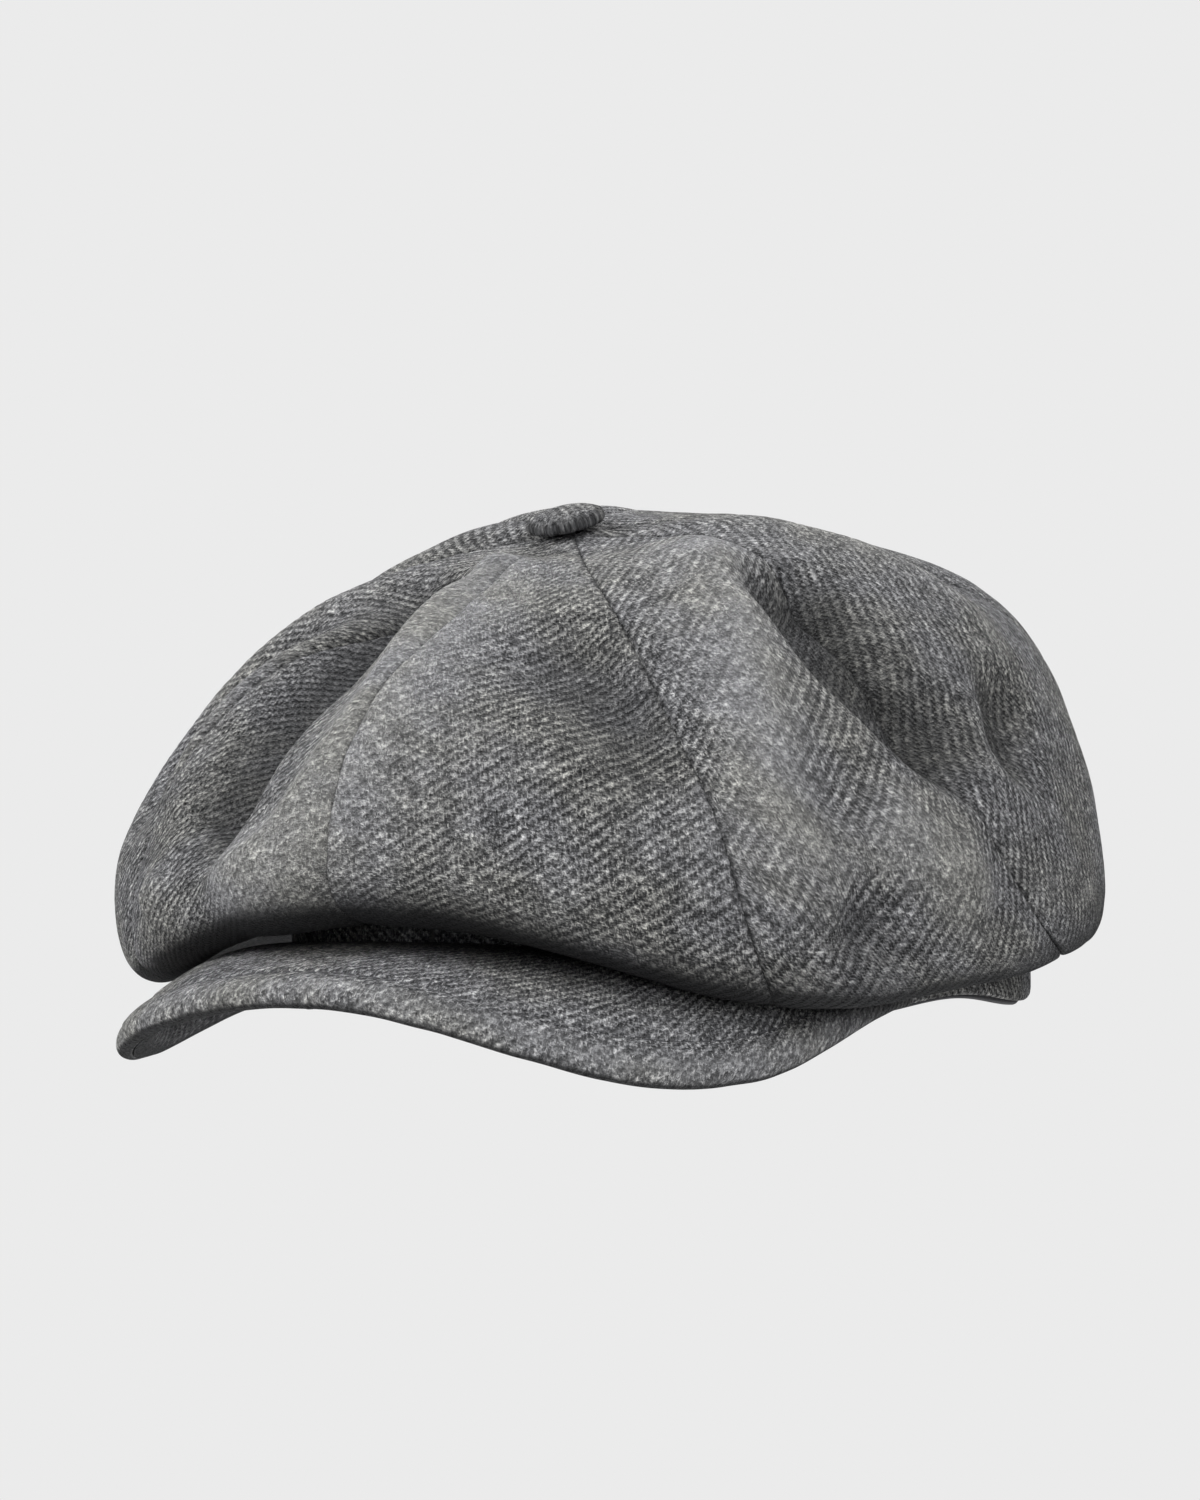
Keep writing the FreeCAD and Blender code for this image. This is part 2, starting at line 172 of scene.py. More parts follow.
# ------------------------------------------------------------------ folds of the crown
# Each fold runs along points (u, t); height in mm along the outward normal, widths in mm on
# the side of smaller u (a) and of larger u (b), exponent (1 sharp crest, 2 round), and the
# share of its length over which each end fades.
FOLDS = [
    # name, points, height, width a, width b, exponent, fade in, fade out
    ("ridge_front_right", [(7.46, 9), (7.66, 37), (7.84, 69), (7.95, 97), (7.94, 118), (7.9, 135), (7.83, 147),
              (7.72, 152), (7.56, 154)], 6.6, 5.5, 17, 1.2, 0.08, 0.12),
    ("valley_front_right", [(7.19, 24), (7.21, 40), (7.38, 60), (7.49, 82), (7.51, 102), (7.53, 121),
              (7.53, 136), (7.48, 144)], -11, 14, 7.5, 2, 0.12, 0.15),
    ("ridge_side_front_right", [(7.06, 24), (6.96, 50), (6.92, 78), (6.94, 104), (7.02, 126)], 3.6, 8, 7, 1.5, 0.25, 0.3),
    ("ridge_front_left", [(1.72, 24), (1.68, 50), (1.45, 79), (1.29, 106), (1.23, 125), (1.27, 136), (1.38, 142)], 5.2, 14, 8, 1.5, 0.22, 0.15),
    ("valley_front_left", [(1.84, 54), (1.85, 70), (1.85, 86), (1.92, 101), (2, 112), (2.04, 123)], -10.5, 8.5, 13, 2, 0.18, 0.25),
    ("hump_side_left", [(1.48, 121), (1.56, 128), (1.69, 136), (1.86, 147)], 4.4, 10, 10, 1.8, 0.25, 0.3),
    ("dent_side_left", [(2.44, 106), (2.36, 118), (2.22, 128)], -6.5, 8, 9, 2, 0.35, 0.35),
    ("ridge_rear_left_top", [(2.6, 26), (2.66, 56), (2.62, 88), (2.52, 112)], 3, 9, 9, 1.6, 0.25, 0.3),
    ("dent_front", [(0.44, 66), (0.65, 76), (0.81, 91), (0.91, 109), (0.98, 127)], -5.4, 12, 8, 2, 0.3, 0.35),
    ("dent_low_left", [(1.24, 150), (1.36, 150), (1.48, 148)], -4.2, 8, 8, 2, 0.35, 0.35),
    ("ridge_low_right", [(7.22, 151), (7.3, 148), (7.36, 144)], 2.4, 5, 5, 1.5, 0.3, 0.3),
    # sides and back, by the same cloth's logic
    ("side_right_ridge", [(6.4, 30), (6.3, 62), (6.4, 96), (6.52, 128), (6.5, 150)], 2.6, 9, 12, 1.5, 0.25, 0.2),
    ("side_right_valley", [(6.66, 40), (6.6, 70), (6.66, 100), (6.72, 126)], -4.8, 9, 10, 2, 0.3, 0.3),
    ("side_right_hump", [(6.34, 130), (6.12, 138), (5.86, 142)], 2.8, 9, 9, 1.8, 0.3, 0.3),
    ("rear_left_valley", [(2.92, 40), (2.98, 70), (2.9, 104)], -3.4, 9, 9, 2, 0.35, 0.35),
    ("rear_mid_valley", [(3.62, 66), (3.52, 96), (3.58, 128), (3.66, 152)], -3.6, 10, 10, 2, 0.35, 0.3),
    ("rear_mid_ridge", [(3.86, 70), (3.8, 104), (3.88, 138)], 2.4, 9, 9, 1.6, 0.35, 0.3),
    ("rear_right_valley", [(4.66, 58), (4.58, 92), (4.52, 124)], -3.6, 10, 10, 2, 0.35, 0.35),
    ("rear_right_ridge", [(5.3, 46), (5.36, 80), (5.3, 112), (5.22, 136)], 3, 9, 8, 1.5, 0.3, 0.3),
    ("rear_right_valley2", [(5.62, 60), (5.66, 90), (5.6, 114)], -3.4, 8, 9, 2, 0.35, 0.35),
]


def fold_paths():
    out = []
    for nm, pts, A, wa, wb, ex, f0, f1 in FOLDS:
        p = np.array(pts, float)
        # smooth path: Catmull-Rom through the points
        q = np.vstack([2 * p[0] - p[1], p, 2 * p[-1] - p[-2]])
        pl = []
        for i in range(1, len(q) - 2):
            for s in np.linspace(0, 1, 10, endpoint=False):
                pl.append(0.5 * (2 * q[i] + (q[i + 1] - q[i - 1]) * s
                                 + (2 * q[i - 1] - 5 * q[i] + 4 * q[i + 1] - q[i + 2]) * s * s
                                 + (3 * q[i] - 3 * q[i + 1] + q[i + 2] - q[i - 1]) * s ** 3))
        pl.append(q[-2])
        pl = np.array(pl)
        P = S(pl[:, 0], pl[:, 1])
        T = unit(np.gradient(P, axis=0))
        B = np.cross(N(pl[:, 0], pl[:, 1]), T)
        # B points to larger u
        ref = S(pl[:, 0] + 0.05, pl[:, 1]) - P
        B *= np.sign((B * ref).sum(1).mean())
        cum = np.concatenate([[0], np.cumsum(np.linalg.norm(np.diff(P, axis=0), axis=1))])
        out.append((A, wa, wb, ex, f0, f1, P, B, T, cum / cum[-1], cum[-1]))
    return out


PATHS = fold_paths()

# How far the cloth stands off its pattern surface in large, mm: rows every half gore from the
# front round by the wearer's left, columns every 26 mm from the button down.
DRAPE = [
    [0.1, 0.1, 0.1, -0.1, -0.4, -1.1, -2.1, -3.3, -2.7, -1.3, -0.3, 0.6],
    [-0.1, 0, 0.1, 0, -0.4, -1.2, -2.6, -5.1, -4.2, 1, 2.4, 2.1],
    [-0.4, -0.4, -0.3, -0.4, -0.8, -1.7, -2.5, -1.4, 6.1, 6.2, 4.3, 3],
    [-0.8, -1.1, -1.2, -1.2, -1.2, -1.8, -3.1, -5.5, -3.4, 3.1, 4.6, 3.8],
    [-1, -2.1, -2.7, -2.3, -1.5, -1.6, -2.7, -3.5, 0.7, 3.8, 4.2, 3.6],
    [-0.7, -2.7, -4.3, -3.5, -1.5, -0.8, -1.6, -3.1, 1.8, 3.9, 3.4, 2.8],
    [0.2, -1.9, -3.7, -3.3, -1.4, 0.1, 0.5, -1.5, -1.2, 1.1, 2, 2.1],
    [1.3, 0.6, -0.6, -1.2, -0.8, 0.3, 1.3, 0.9, -0.1, 0.3, 0.9, 1.3],
    [2.3, 3.5, 3.8, 1.7, 0.3, 0.3, 1.1, 1.6, 1.4, 1.1, 0.9, 0.5],
    [2.6, 4, 4.4, 2.1, 0.3, 0, 0.9, 2.2, 3, 2.5, 1.2, -0.2],
    [2.3, 1.8, 0.6, -0.9, -1.3, -0.8, 0.7, 3, 4.7, 3.3, 1, -1],
    [1.5, -0.5, -2.8, -3.7, -3.1, -2, -0.1, 2.8, 4.6, 1.5, -0.4, -1.4],
    [0.7, -1, -2.4, -3.2, -3.9, -3.2, -1.7, -2.2, -5.1, -4.2, -2.5, -1.3],
    [0.2, -0.6, -1.2, -2.1, -3.6, -3.2, -2.1, -3.9, -7.7, -6.7, -3.8, -1.5],
    [0.1, -0.2, -0.6, -1.3, -2.1, -2.1, -1.6, -0.6, -0.5, -5.1, -4.2, -1.8],
    [0.1, 0, -0.1, -0.5, -0.9, -1.3, -1.7, -2.4, -5.5, -4.6, -3.1, -0.9],
]


def drape(u, t):
    C = np.array(DRAPE)

    def basis(x):
        i = np.floor(x).astype(int)
        f = x - i
        return i, ((1 - f) ** 3 / 6, (3 * f ** 3 - 6 * f * f + 4) / 6,
                   (-3 * f ** 3 + 3 * f * f + 3 * f + 1) / 6, f ** 3 / 6)
    iu, bu = basis(np.asarray(u) / 0.5)
    it, bt = basis(np.asarray(t) / 26.0)
    out = 0
    for a in range(4):
        for b in range(4):
            out = out + bu[a] * bt[b] * C[(iu + a - 1) % C.shape[0], np.clip(it + b, 0, C.shape[1] - 1)]
    return out * np.clip(t / 6, 0, 1) * np.clip((LT - t) / 10, 0, 1)



def D_fold(P, u, t):
    """Outward displacement of the cloth at points P of the crown surface."""
    flat = P.reshape(-1, 3)
    D = np.zeros(len(flat))
    for A, wa, wb, ex, f0, f1, Q, B, T, cum, ln in PATHS:
        reach = 3.2 * max(wa, wb)
        lo, hi = Q.min(0) - reach, Q.max(0) + reach
        sel = np.nonzero(((flat > lo) & (flat < hi)).all(1))[0]
        if not len(sel):
            continue
        X = flat[sel]
        d2 = ((X[:, None, :] - Q[None]) ** 2).sum(2)
        k = d2.argmin(1)
        off = X - Q[k]
        side = (off * B[k]).sum(1)
        along = (off * T[k]).sum(1)
        dist = np.sqrt(d2[np.arange(len(X)), k])
        sd = np.where(side >= 0, dist, -dist)
        a = np.clip(cum[k] + along / ln, -1, 2)
        env = smooth(a, -f0 * 0.3, f0) * (1 - smooth(a, 1 - f1, 1 + f1 * 0.3))
        w = np.where(sd >= 0, wb, wa)
        r = np.abs(sd) / w
        # a rounded crest a fraction of a millimetre wide, so that it isn't a cut
        r = np.sqrt(r * r + 0.012) - math.sqrt(0.012)
        D[sel] += A * env * np.exp(-r ** ex)
    D = D.reshape(P.shape[:-1])
    fade = smooth(t, 2, 26) * (1 - smooth(t, 172, 203))
    D = D * (0.15 + 0.85 * smooth(t, 4, 30)) * (1 - smooth(t, 170, 204))
    D = D + fade * (0.75 * vnoise(P, 34, 1) + 0.32 * vnoise(P, 13, 2) + 0.10 * vnoise(P, 5.5, 3))
    return D + drape(u, t)


# ------------------------------------------------------------------ mesh helpers
def new_obj(name, V, F, uv=None, attrs=None, sharp=None, flip_to_out=True):
    """V in mm; F list/array of quads (or mixed polygons); uv one pair per vertex, in mm."""
    V = np.asarray(V, float)
    me = bpy.data.meshes.new(name)
    me.vertices.add(len(V))
    me.vertices.foreach_set("co", (V * MM).ravel())
    if isinstance(F, np.ndarray):
        tot = np.full(len(F), F.shape[1])
        flat = F.ravel()
        polys = F
    else:
        tot = np.array([len(f) for f in F])
        flat = np.array([i for f in F for i in f])
        polys = None
    start = np.concatenate([[0], np.cumsum(tot)[:-1]])
    if flip_to_out:
        vol = 0.0
        c = V.mean(0)
        i0 = flat[start]
        for k in range(1, int(tot.max()) - 1):
            ok = tot > k + 1
            a, b = flat[start[ok] + k], flat[start[ok] + k + 1]
            vol += np.einsum('ij,ij->', V[i0[ok]] - c, np.cross(V[a] - c, V[b] - c))
        if vol < 0:
            new = flat.copy()
            for n in np.unique(tot):
                s = start[tot == n][:, None] + np.arange(n)[None]
                new[s] = flat[s[:, ::-1]]
            flat = new
    me.loops.add(len(flat))
    me.loops.foreach_set("vertex_index", flat.astype(np.int32))
    me.polygons.add(len(tot))
    me.polygons.foreach_set("loop_start", start.astype(np.int32))
    me.polygons.foreach_set("loop_total", tot.astype(np.int32))
    me.polygons.foreach_set("use_smooth", np.ones(len(tot), bool))
    me.update(calc_edges=True)
    me.validate()
    if uv is not None:
        lay = me.uv_layers.new(name="grain")
        li = np.empty(len(me.loops), np.int32)
        me.loops.foreach_get("vertex_index", li)
        lay.data.foreach_set("uv", np.asarray(uv, np.float32)[li].ravel())
    for k, v in (attrs or {}).items():
        at = me.attributes.new(name=k, type='FLOAT', domain='POINT')
        at.data.foreach_set("value", np.asarray(v, np.float32).ravel())
    if sharp is not None:
        e = np.empty(len(me.edges) * 2, np.int32)
        me.edges.foreach_get("vertices", e)
        e = e.reshape(-1, 2)
        at = me.attributes.new(name="sharp_edge", type='BOOLEAN', domain='EDGE')
        at.data.foreach_set("value", (sharp[e[:, 0]] & sharp[e[:, 1]]))
    ob = bpy.data.objects.new(name, me)
    bpy.context.scene.collection.objects.link(ob)
    return ob


def slab(name, outer, inner, uv, attrs=None, wrap=False):
    """Closed sheet of cloth between two grids of points (rows x columns)."""
    nr, nc = outer.shape[:2]
    idx = np.arange(nr * nc).reshape(nr, nc)
    o, i = idx, idx + nr * nc

    def quads(g):
        if wrap:
            g = np.concatenate([g, g[:, :1]], 1)
        return np.stack([g[:-1, :-1], g[:-1, 1:], g[1:, 1:], g[1:, :-1]], -1).reshape(-1, 4)

    def strip(a, b):
        return np.stack([a[:-1], b[:-1], b[1:], a[1:]], -1)
    F = [quads(o), quads(i)[:, ::-1]]
    if wrap:
        c = np.r_[np.arange(nc), 0]
        F += [strip(i[0, c], o[0, c])[:, ::-1] * 1, strip(o[-1, c], i[-1, c])[:, ::-1] * 1]
        F[2] = np.stack([o[0, c][:-1], i[0, c][:-1], i[0, c][1:], o[0, c][1:]], -1)
        F[3] = np.stack([o[-1, c][1:], i[-1, c][1:], i[-1, c][:-1], o[-1, c][:-1]], -1)
    else:
        F.append(np.stack([o[0][:-1], i[0][:-1], i[0][1:], o[0][1:]], -1))
        F.append(np.stack([o[-1][1:], i[-1][1:], i[-1][:-1], o[-1][:-1]], -1))
        F.append(np.stack([o[1:, 0], i[1:, 0], i[:-1, 0], o[:-1, 0]], -1))
        F.append(np.stack([o[:-1, -1], i[:-1, -1], i[1:, -1], o[1:, -1]], -1))
    F = np.concatenate(F)
    V = np.concatenate([outer.reshape(-1, 3), inner.reshape(-1, 3)])
    UV = np.concatenate([uv.reshape(-1, 2)] * 2)
    at = {k: np.concatenate([v.ravel()] * 2) for k, v in (attrs or {}).items()}
    sharp = np.zeros((nr, nc), bool)
    sharp[0] = sharp[-1] = True
    if not wrap:
        sharp[:, 0] = sharp[:, -1] = True
    sharp = np.concatenate([sharp.ravel()] * 2)
    return new_obj(name, V, F, UV, at, sharp)


def grid_normals(G, wrap=False):
    if wrap:
        du = np.roll(G, -1, 1) - np.roll(G, 1, 1)
    else:
        du = np.gradient(G, axis=1)
    dv = np.gradient(G, axis=0)
    return unit(np.cross(du, dv))


# ------------------------------------------------------------------ materials
def mat_new(name):
    m = bpy.data.materials.new(name)
    m.use_nodes = True
    nt = m.node_tree
    nt.nodes.clear()
    out = nt.nodes.new("ShaderNodeOutputMaterial")
    b = nt.nodes.new("ShaderNodeBsdfPrincipled")
    nt.links.new(b.outputs[0], out.inputs[0])
    return m, nt, b


class G:
    """A few short helpers for node graphs."""
    def __init__(self, nt):
        self.nt = nt

    def _in(self, sock, v):
        if isinstance(v, bpy.types.NodeSocket):
            self.nt.links.new(v, sock)
        elif v is not None:
            sock.default_value = v

    def math(self, op, a, b=None, c=None, clamp=False):
        n = self.nt.nodes.new("ShaderNodeMath")
        n.operation = op
        n.use_clamp = clamp
        for s, v in zip(n.inputs, (a, b, c)):
            self._in(s, v)
        return n.outputs[0]

    def vmath(self, op, a, b=None):
        n = self.nt.nodes.new("ShaderNodeVectorMath")
        n.operation = op
        self._in(n.inputs[0], a)
        if b is not None:
            self._in(n.inputs[1], b)
        return n.outputs[0]

    def mapping(self, v, scale=(1, 1, 1), rot=(0, 0, 0), loc=(0, 0, 0)):
        n = self.nt.nodes.new("ShaderNodeMapping")
        self._in(n.inputs["Vector"], v)
        n.inputs["Scale"].default_value = scale
        n.inputs["Rotation"].default_value = rot
        n.inputs["Location"].default_value = loc
        return n.outputs[0]

    def noise(self, v, scale, detail=2.0, rough=0.5, dist=0.0):
        n = self.nt.nodes.new("ShaderNodeTexNoise")
        self._in(n.inputs["Vector"], v)
        n.inputs["Scale"].default_value = scale
        n.inputs["Detail"].default_value = detail
        n.inputs["Roughness"].default_value = rough
        n.inputs["Distortion"].default_value = dist
        return n.outputs["Fac"]

    def noise_color(self, v, scale, detail=2.0):
        n = self.nt.nodes.new("ShaderNodeTexNoise")
        self._in(n.inputs["Vector"], v)
        n.inputs["Scale"].default_value = scale
        n.inputs["Detail"].default_value = detail
        return n.outputs["Color"]

    def map(self, v, a, b, c=0.0, d=1.0, smooth_=False):
        n = self.nt.nodes.new("ShaderNodeMapRange")
        n.interpolation_type = 'SMOOTHSTEP' if smooth_ else 'LINEAR'
        n.clamp = True
        self._in(n.inputs["Value"], v)
        for k, x in zip(("From Min", "From Max", "To Min", "To Max"), (a, b, c, d)):
            n.inputs[k].default_value = x
        return n.outputs[0]

    def mix(self, f, a, b, mode='MIX'):
        n = self.nt.nodes.new("ShaderNodeMix")
        n.data_type = 'RGBA'
        n.blend_type = mode
        n.clamp_factor = True
        self._in(n.inputs[0], f)
        for k, v in ((6, a), (7, b)):
            if isinstance(v, (tuple, list)) and len(v) == 3:
                v = (*v, 1)
            self._in(n.inputs[k], v)
        return n.outputs[2]

    def ramp(self, v, stops):
        n = self.nt.nodes.new("ShaderNodeValToRGB")
        self._in(n.inputs[0], v)
        e = n.color_ramp.elements
        while len(e) > 1:
            e.remove(e[-1])
        e[0].position, e[0].color = stops[0][0], (*stops[0][1], 1)
        for p, c in stops[1:]:
            x = e.new(p)
            x.color = (*c, 1)
        return n.outputs[0]

    def uv(self):
        n = self.nt.nodes.new("ShaderNodeUVMap")
        n.uv_map = "grain"
        return n.outputs[0]

    def obj(self):
        return self.nt.nodes.new("ShaderNodeTexCoord").outputs["Object"]

    def attr(self, name):
        n = self.nt.nodes.new("ShaderNodeAttribute")
        n.attribute_name = name
        return n.outputs["Fac"]

    def sep(self, v):
        n = self.nt.nodes.new("ShaderNodeSeparateXYZ")
        self._in(n.inputs[0], v)
        return n.outputs

    def comb(self, x, y, z=0.0):
        n = self.nt.nodes.new("ShaderNodeCombineXYZ")
        for s, v in zip(n.inputs, (x, y, z)):
            self._in(s, v)
        return n.outputs[0]

    def bump(self, h, strength, dist, normal=None):
        n = self.nt.nodes.new("ShaderNodeBump")
        n.inputs["Strength"].default_value = strength
        n.inputs["Distance"].default_value = dist
        self._in(n.inputs["Height"], h)
        if normal is not None:
            self._in(n.inputs["Normal"], normal)
        return n.outputs[0]


def grey(s, tint=(1, 1, 1)):
    """sRGB 0-255 grey to linear, with a slight tint."""
    x = s / 255.0
    x = x / 12.92 if x <= 0.04045 else ((x + 0.055) / 1.055) ** 2.4
    return tuple(x * k for k in tint)


WOOL_GREYS = (14, 74, 152, 238)


def wool_material(name, lift=1.0):
    """Brushed grey melange twill.  The grain UV is in millimetres, y up the piece."""
    m, nt, b = mat_new(name)
    g = G(nt)
    uv = g.uv()
    # the yarns wander a little
    wob = g.noise_color(g.mapping(uv, (0.16, 0.16, 1)), 1.0, 2)
    off = g.vmath('MULTIPLY', g.vmath('SUBTRACT', wob, (0.5, 0.5, 0.5)), (1.3, 1.3, 0))
    fine = g.noise_color(g.mapping(uv, (1.1, 1.1, 1), loc=(7, 3, 0)), 1.0, 1)
    off2 = g.vmath('MULTIPLY', g.vmath('SUBTRACT', fine, (0.5, 0.5, 0.5)), (0.42, 0.42, 0))
    p = g.vmath('ADD', g.vmath('ADD', uv, off), off2)
    x, y, _ = g.sep(p)
    # twill: ridges run up and to the right at 45 degrees, 2.2 mm apart
    c = math.sqrt(0.5) / 2.2
    s = g.math('ADD', g.math('MULTIPLY', x, c), g.math('MULTIPLY', y, -c))
    r = g.math('ADD', g.math('MULTIPLY', x, c), g.math('MULTIPLY', y, c))
    row = g.math('FLOOR', s)
    fr = g.math('SUBTRACT', s, row)
    tri = g.math('ABSOLUTE', g.math('SUBTRACT', fr, 0.5))                 # 0.5 in the groove, 0 on the ridge
    groove = g.map(tri, 0.15, 0.40, 0.0, 1.0, True)
    # each groove is broken into short dashes, staggered from row to row
    ph = g.math('MULTIPLY', row, 0.41)
    rr = g.math('ADD', g.math('MULTIPLY', r, 1.55), ph)
    fr2 = g.math('ABSOLUTE', g.math('SUBTRACT', g.math('FRACT', rr), 0.5))
    dash = g.map(fr2, 0.10, 0.33, 0.24, 1.0, True)
    patch = g.map(g.noise(g.mapping(uv, (0.10, 0.10, 1), loc=(3, 9, 0)), 1.0, 3, 0.6), 0.38, 0.62, 0.62, 1.0, True)
    tw = g.math('MULTIPLY', g.math('MULTIPLY', groove, dash), patch)
    # melange: pale and dark fibres mixed in the yarn, and short stray fibres in two directions
    n1 = g.noise(g.mapping(uv, (1.15, 1.15, 1)), 1.0, 2, 0.7)
    n1b = g.noise(g.mapping(uv, (0.55, 0.55, 1), loc=(2, 6, 0)), 1.0, 2, 0.6)
    n2 = g.noise(g.mapping(uv, (0.20, 0.20, 1), loc=(5, 1, 0)), 1.0, 3, 0.6)
    f1 = g.noise(g.mapping(uv, (2.1, 0.60, 1), rot=(0, 0, 0.5)), 1.0, 2, 0.6, 0.6)
    f2 = g.noise(g.mapping(uv, (2.0, 0.56, 1), rot=(0, 0, -0.95), loc=(4, 8, 0)), 1.0, 2, 0.6, 0.6)
    mott = g.math('ADD', g.math('ADD', g.math('MULTIPLY', n1, 0.43), g.math('MULTIPLY', n1b, 0.31)),
                  g.math('MULTIPLY', n2, 0.26))
    col = g.ramp(mott, [(0.36, grey(WOOL_GREYS[0], (0.98, 0.99, 1.05))), (0.45, grey(WOOL_GREYS[1], (0.99, 1.0, 1.02))),
                        (0.54, grey(WOOL_GREYS[2], (1.0, 1.0, 0.995))), (0.64, grey(WOOL_GREYS[3], (1.01, 1.005, 0.97)))])
    lightf = g.map(g.math('MAXIMUM', f1, f2), 0.60, 0.74, 0.0, 0.85)
    col = g.mix(lightf, col, grey(226, (1.01, 1.0, 0.97)))
    darkf = g.map(g.math('MINIMUM', f1, f2), 0.30, 0.40, 0.85, 0.0)
    col = g.mix(darkf, col, grey(22, (0.97, 0.98, 1.08)))
    # grooves of the weave are darker, except on crests, where the twill is flattened as if worn; this also lightens the
    # crests as painted highlight
    nap = g.map(g.attr("nap"), 0.0, 1.0, 0.0, 1.0)
    keep = g.math('SUBTRACT', 1.0, g.math('MULTIPLY', nap, 0.55))
    twk = g.math('MULTIPLY', tw, keep)
    col = g.mix(g.math('MULTIPLY', twk, 0.90), col, grey(20, (0.97, 0.98, 1.08)))
    # painted highlight: crests a little lighter and smoother; painted shade: hollows, down-facing cloth, the visor's
    # root and underside and the button's edge darker; seams a broken dark line
    col = g.mix(g.math('MULTIPLY', nap, 0.22), col, grey(196, (1.0, 1.0, 0.98)))
    col = g.mix(g.math('MULTIPLY', g.attr("painted_shade"), 0.68), col, grey(30, (0.98, 0.99, 1.05)))
    sm = g.attr("seam")
    brk = g.map(g.noise(g.mapping(uv, (0.55, 0.55, 1), loc=(1, 5, 0)), 1.0, 2), 0.40, 0.60, 0.15, 1.0)
    sd = g.math('MULTIPLY', g.map(sm, 0.2, 1.05, 1.0, 0.0, True), brk)
    col = g.mix(g.math('MULTIPLY', sd, 0.72), col, grey(26, (0.97, 0.98, 1.08)))
    # very slight olive and violet casts in large patches
    cast = g.noise(g.mapping(uv, (0.035, 0.035, 1), loc=(9, 2, 0)), 1.0, 2)
    tint = g.mix(g.map(cast, 0.35, 0.65, 0, 1, True), (0.985 * lift, 0.99 * lift, 1.035 * lift),
                 (1.015 * lift, 1.01 * lift, 0.975 * lift))
    col = g.mix(1.0, col, tint, 'MULTIPLY')
    nt.links.new(col, b.inputs["Base Color"])
    b.inputs["Roughness"].default_value = 0.93
    b.inputs["Specular IOR Level"].default_value = 0.18
    b.inputs["Sheen Weight"].default_value = 0.12
    b.inputs["Sheen Roughness"].default_value = 0.55
    b.inputs["Sheen Tint"].default_value = (0.72, 0.73, 0.75, 1)
    h = g.math('ADD', g.math('MULTIPLY', twk, -1.3), g.math('MULTIPLY', n1, 1.5))
    h = g.math('ADD', h, g.math('MULTIPLY', g.math('MAXIMUM', f1, f2), 1.1))
    h = g.math('ADD', h, g.math('MULTIPLY', n1b, 1.2))
    nt.links.new(g.bump(h, 1.0, 0.0009), b.inputs["Normal"])
    return m


def satin_material(name):
    m, nt, b = mat_new(name)
    g = G(nt)
    uv = g.uv()
    thr = g.noise(g.mapping(uv, (4.0, 0.35, 1)), 1.0, 2, 0.6)
    big = g.noise(g.mapping(uv, (0.05, 0.05, 1)), 1.0, 3, 0.6)
    v = g.math('ADD', g.math('MULTIPLY', thr, 0.5), g.math('MULTIPLY', big, 0.5))
    nt.links.new(g.ramp(v, [(0.3, (0.014, 0.0145, 0.018)), (0.7, (0.045, 0.046, 0.056))]), b.inputs["Base Color"])
    nt.links.new(g.map(thr, 0.3, 0.7, 0.34, 0.5), b.inputs["Roughness"])
    b.inputs["Specular IOR Level"].default_value = 0.45
    b.inputs["Anisotropic"].default_value = 0.5
    nt.links.new(g.bump(v, 0.35, 0.0003), b.inputs["Normal"])
    return m


def rib_material(name, base, hi, pitch, rough=0.75, along='x', sheen=0.1):
    """Woven tape with ribs `pitch` mm apart."""
    m, nt, b = mat_new(name)
    g = G(nt)
    uv = g.uv()
    x, y, _ = g.sep(uv)
    a, c = (x, y) if along == 'x' else (y, x)
    rib = g.math('ABSOLUTE', g.math('SINE', g.math('MULTIPLY', a, math.pi / pitch)))
    thr = g.math('ABSOLUTE', g.math('SINE', g.math('MULTIPLY', c, math.pi / (pitch * 0.6))))
    ns = g.noise(g.mapping(uv, (0.9, 0.9, 1)), 1.0, 4, 0.65)
    v = g.math('ADD', g.math('MULTIPLY', rib, 0.45), g.math('ADD', g.math('MULTIPLY', thr, 0.15), g.math('MULTIPLY', ns, 0.5)))
    nt.links.new(g.ramp(v, [(0.2, base), (0.95, hi)]), b.inputs["Base Color"])
    nt.links.new(g.map(ns, 0.3, 0.7, rough - 0.07, rough + 0.07), b.inputs["Roughness"])
    b.inputs["Specular IOR Level"].default_value = 0.3
    b.inputs["Sheen Weight"].default_value = sheen
    nt.links.new(g.bump(v, 0.6, 0.0004), b.inputs["Normal"])
    return m


def solid_material(name, base, hi, scale, rough, metal=0.0, bump=0.0003, stretch=(1, 1, 1)):
    """For small inner pieces without a grain UV: object space, mm."""
    m, nt, b = mat_new(name)
    g = G(nt)
    p = g.mapping(g.obj(), tuple(1000.0 * scale * k for k in stretch))
    n1 = g.noise(p, 1.0, 4, 0.65, 0.3)
    n2 = g.noise(p, 0.18, 2, 0.5)
    v = g.math('ADD', g.math('MULTIPLY', n1, 0.65), g.math('MULTIPLY', n2, 0.35))
    nt.links.new(g.ramp(v, [(0.32, base), (0.68, hi)]), b.inputs["Base Color"])
    nt.links.new(g.map(n1, 0.3, 0.7, max(0.05, rough - 0.1), min(1.0, rough + 0.08)), b.inputs["Roughness"])
    b.inputs["Metallic"].default_value = metal
    nt.links.new(g.bump(v, 0.5, bump), b.inputs["Normal"])
    return m


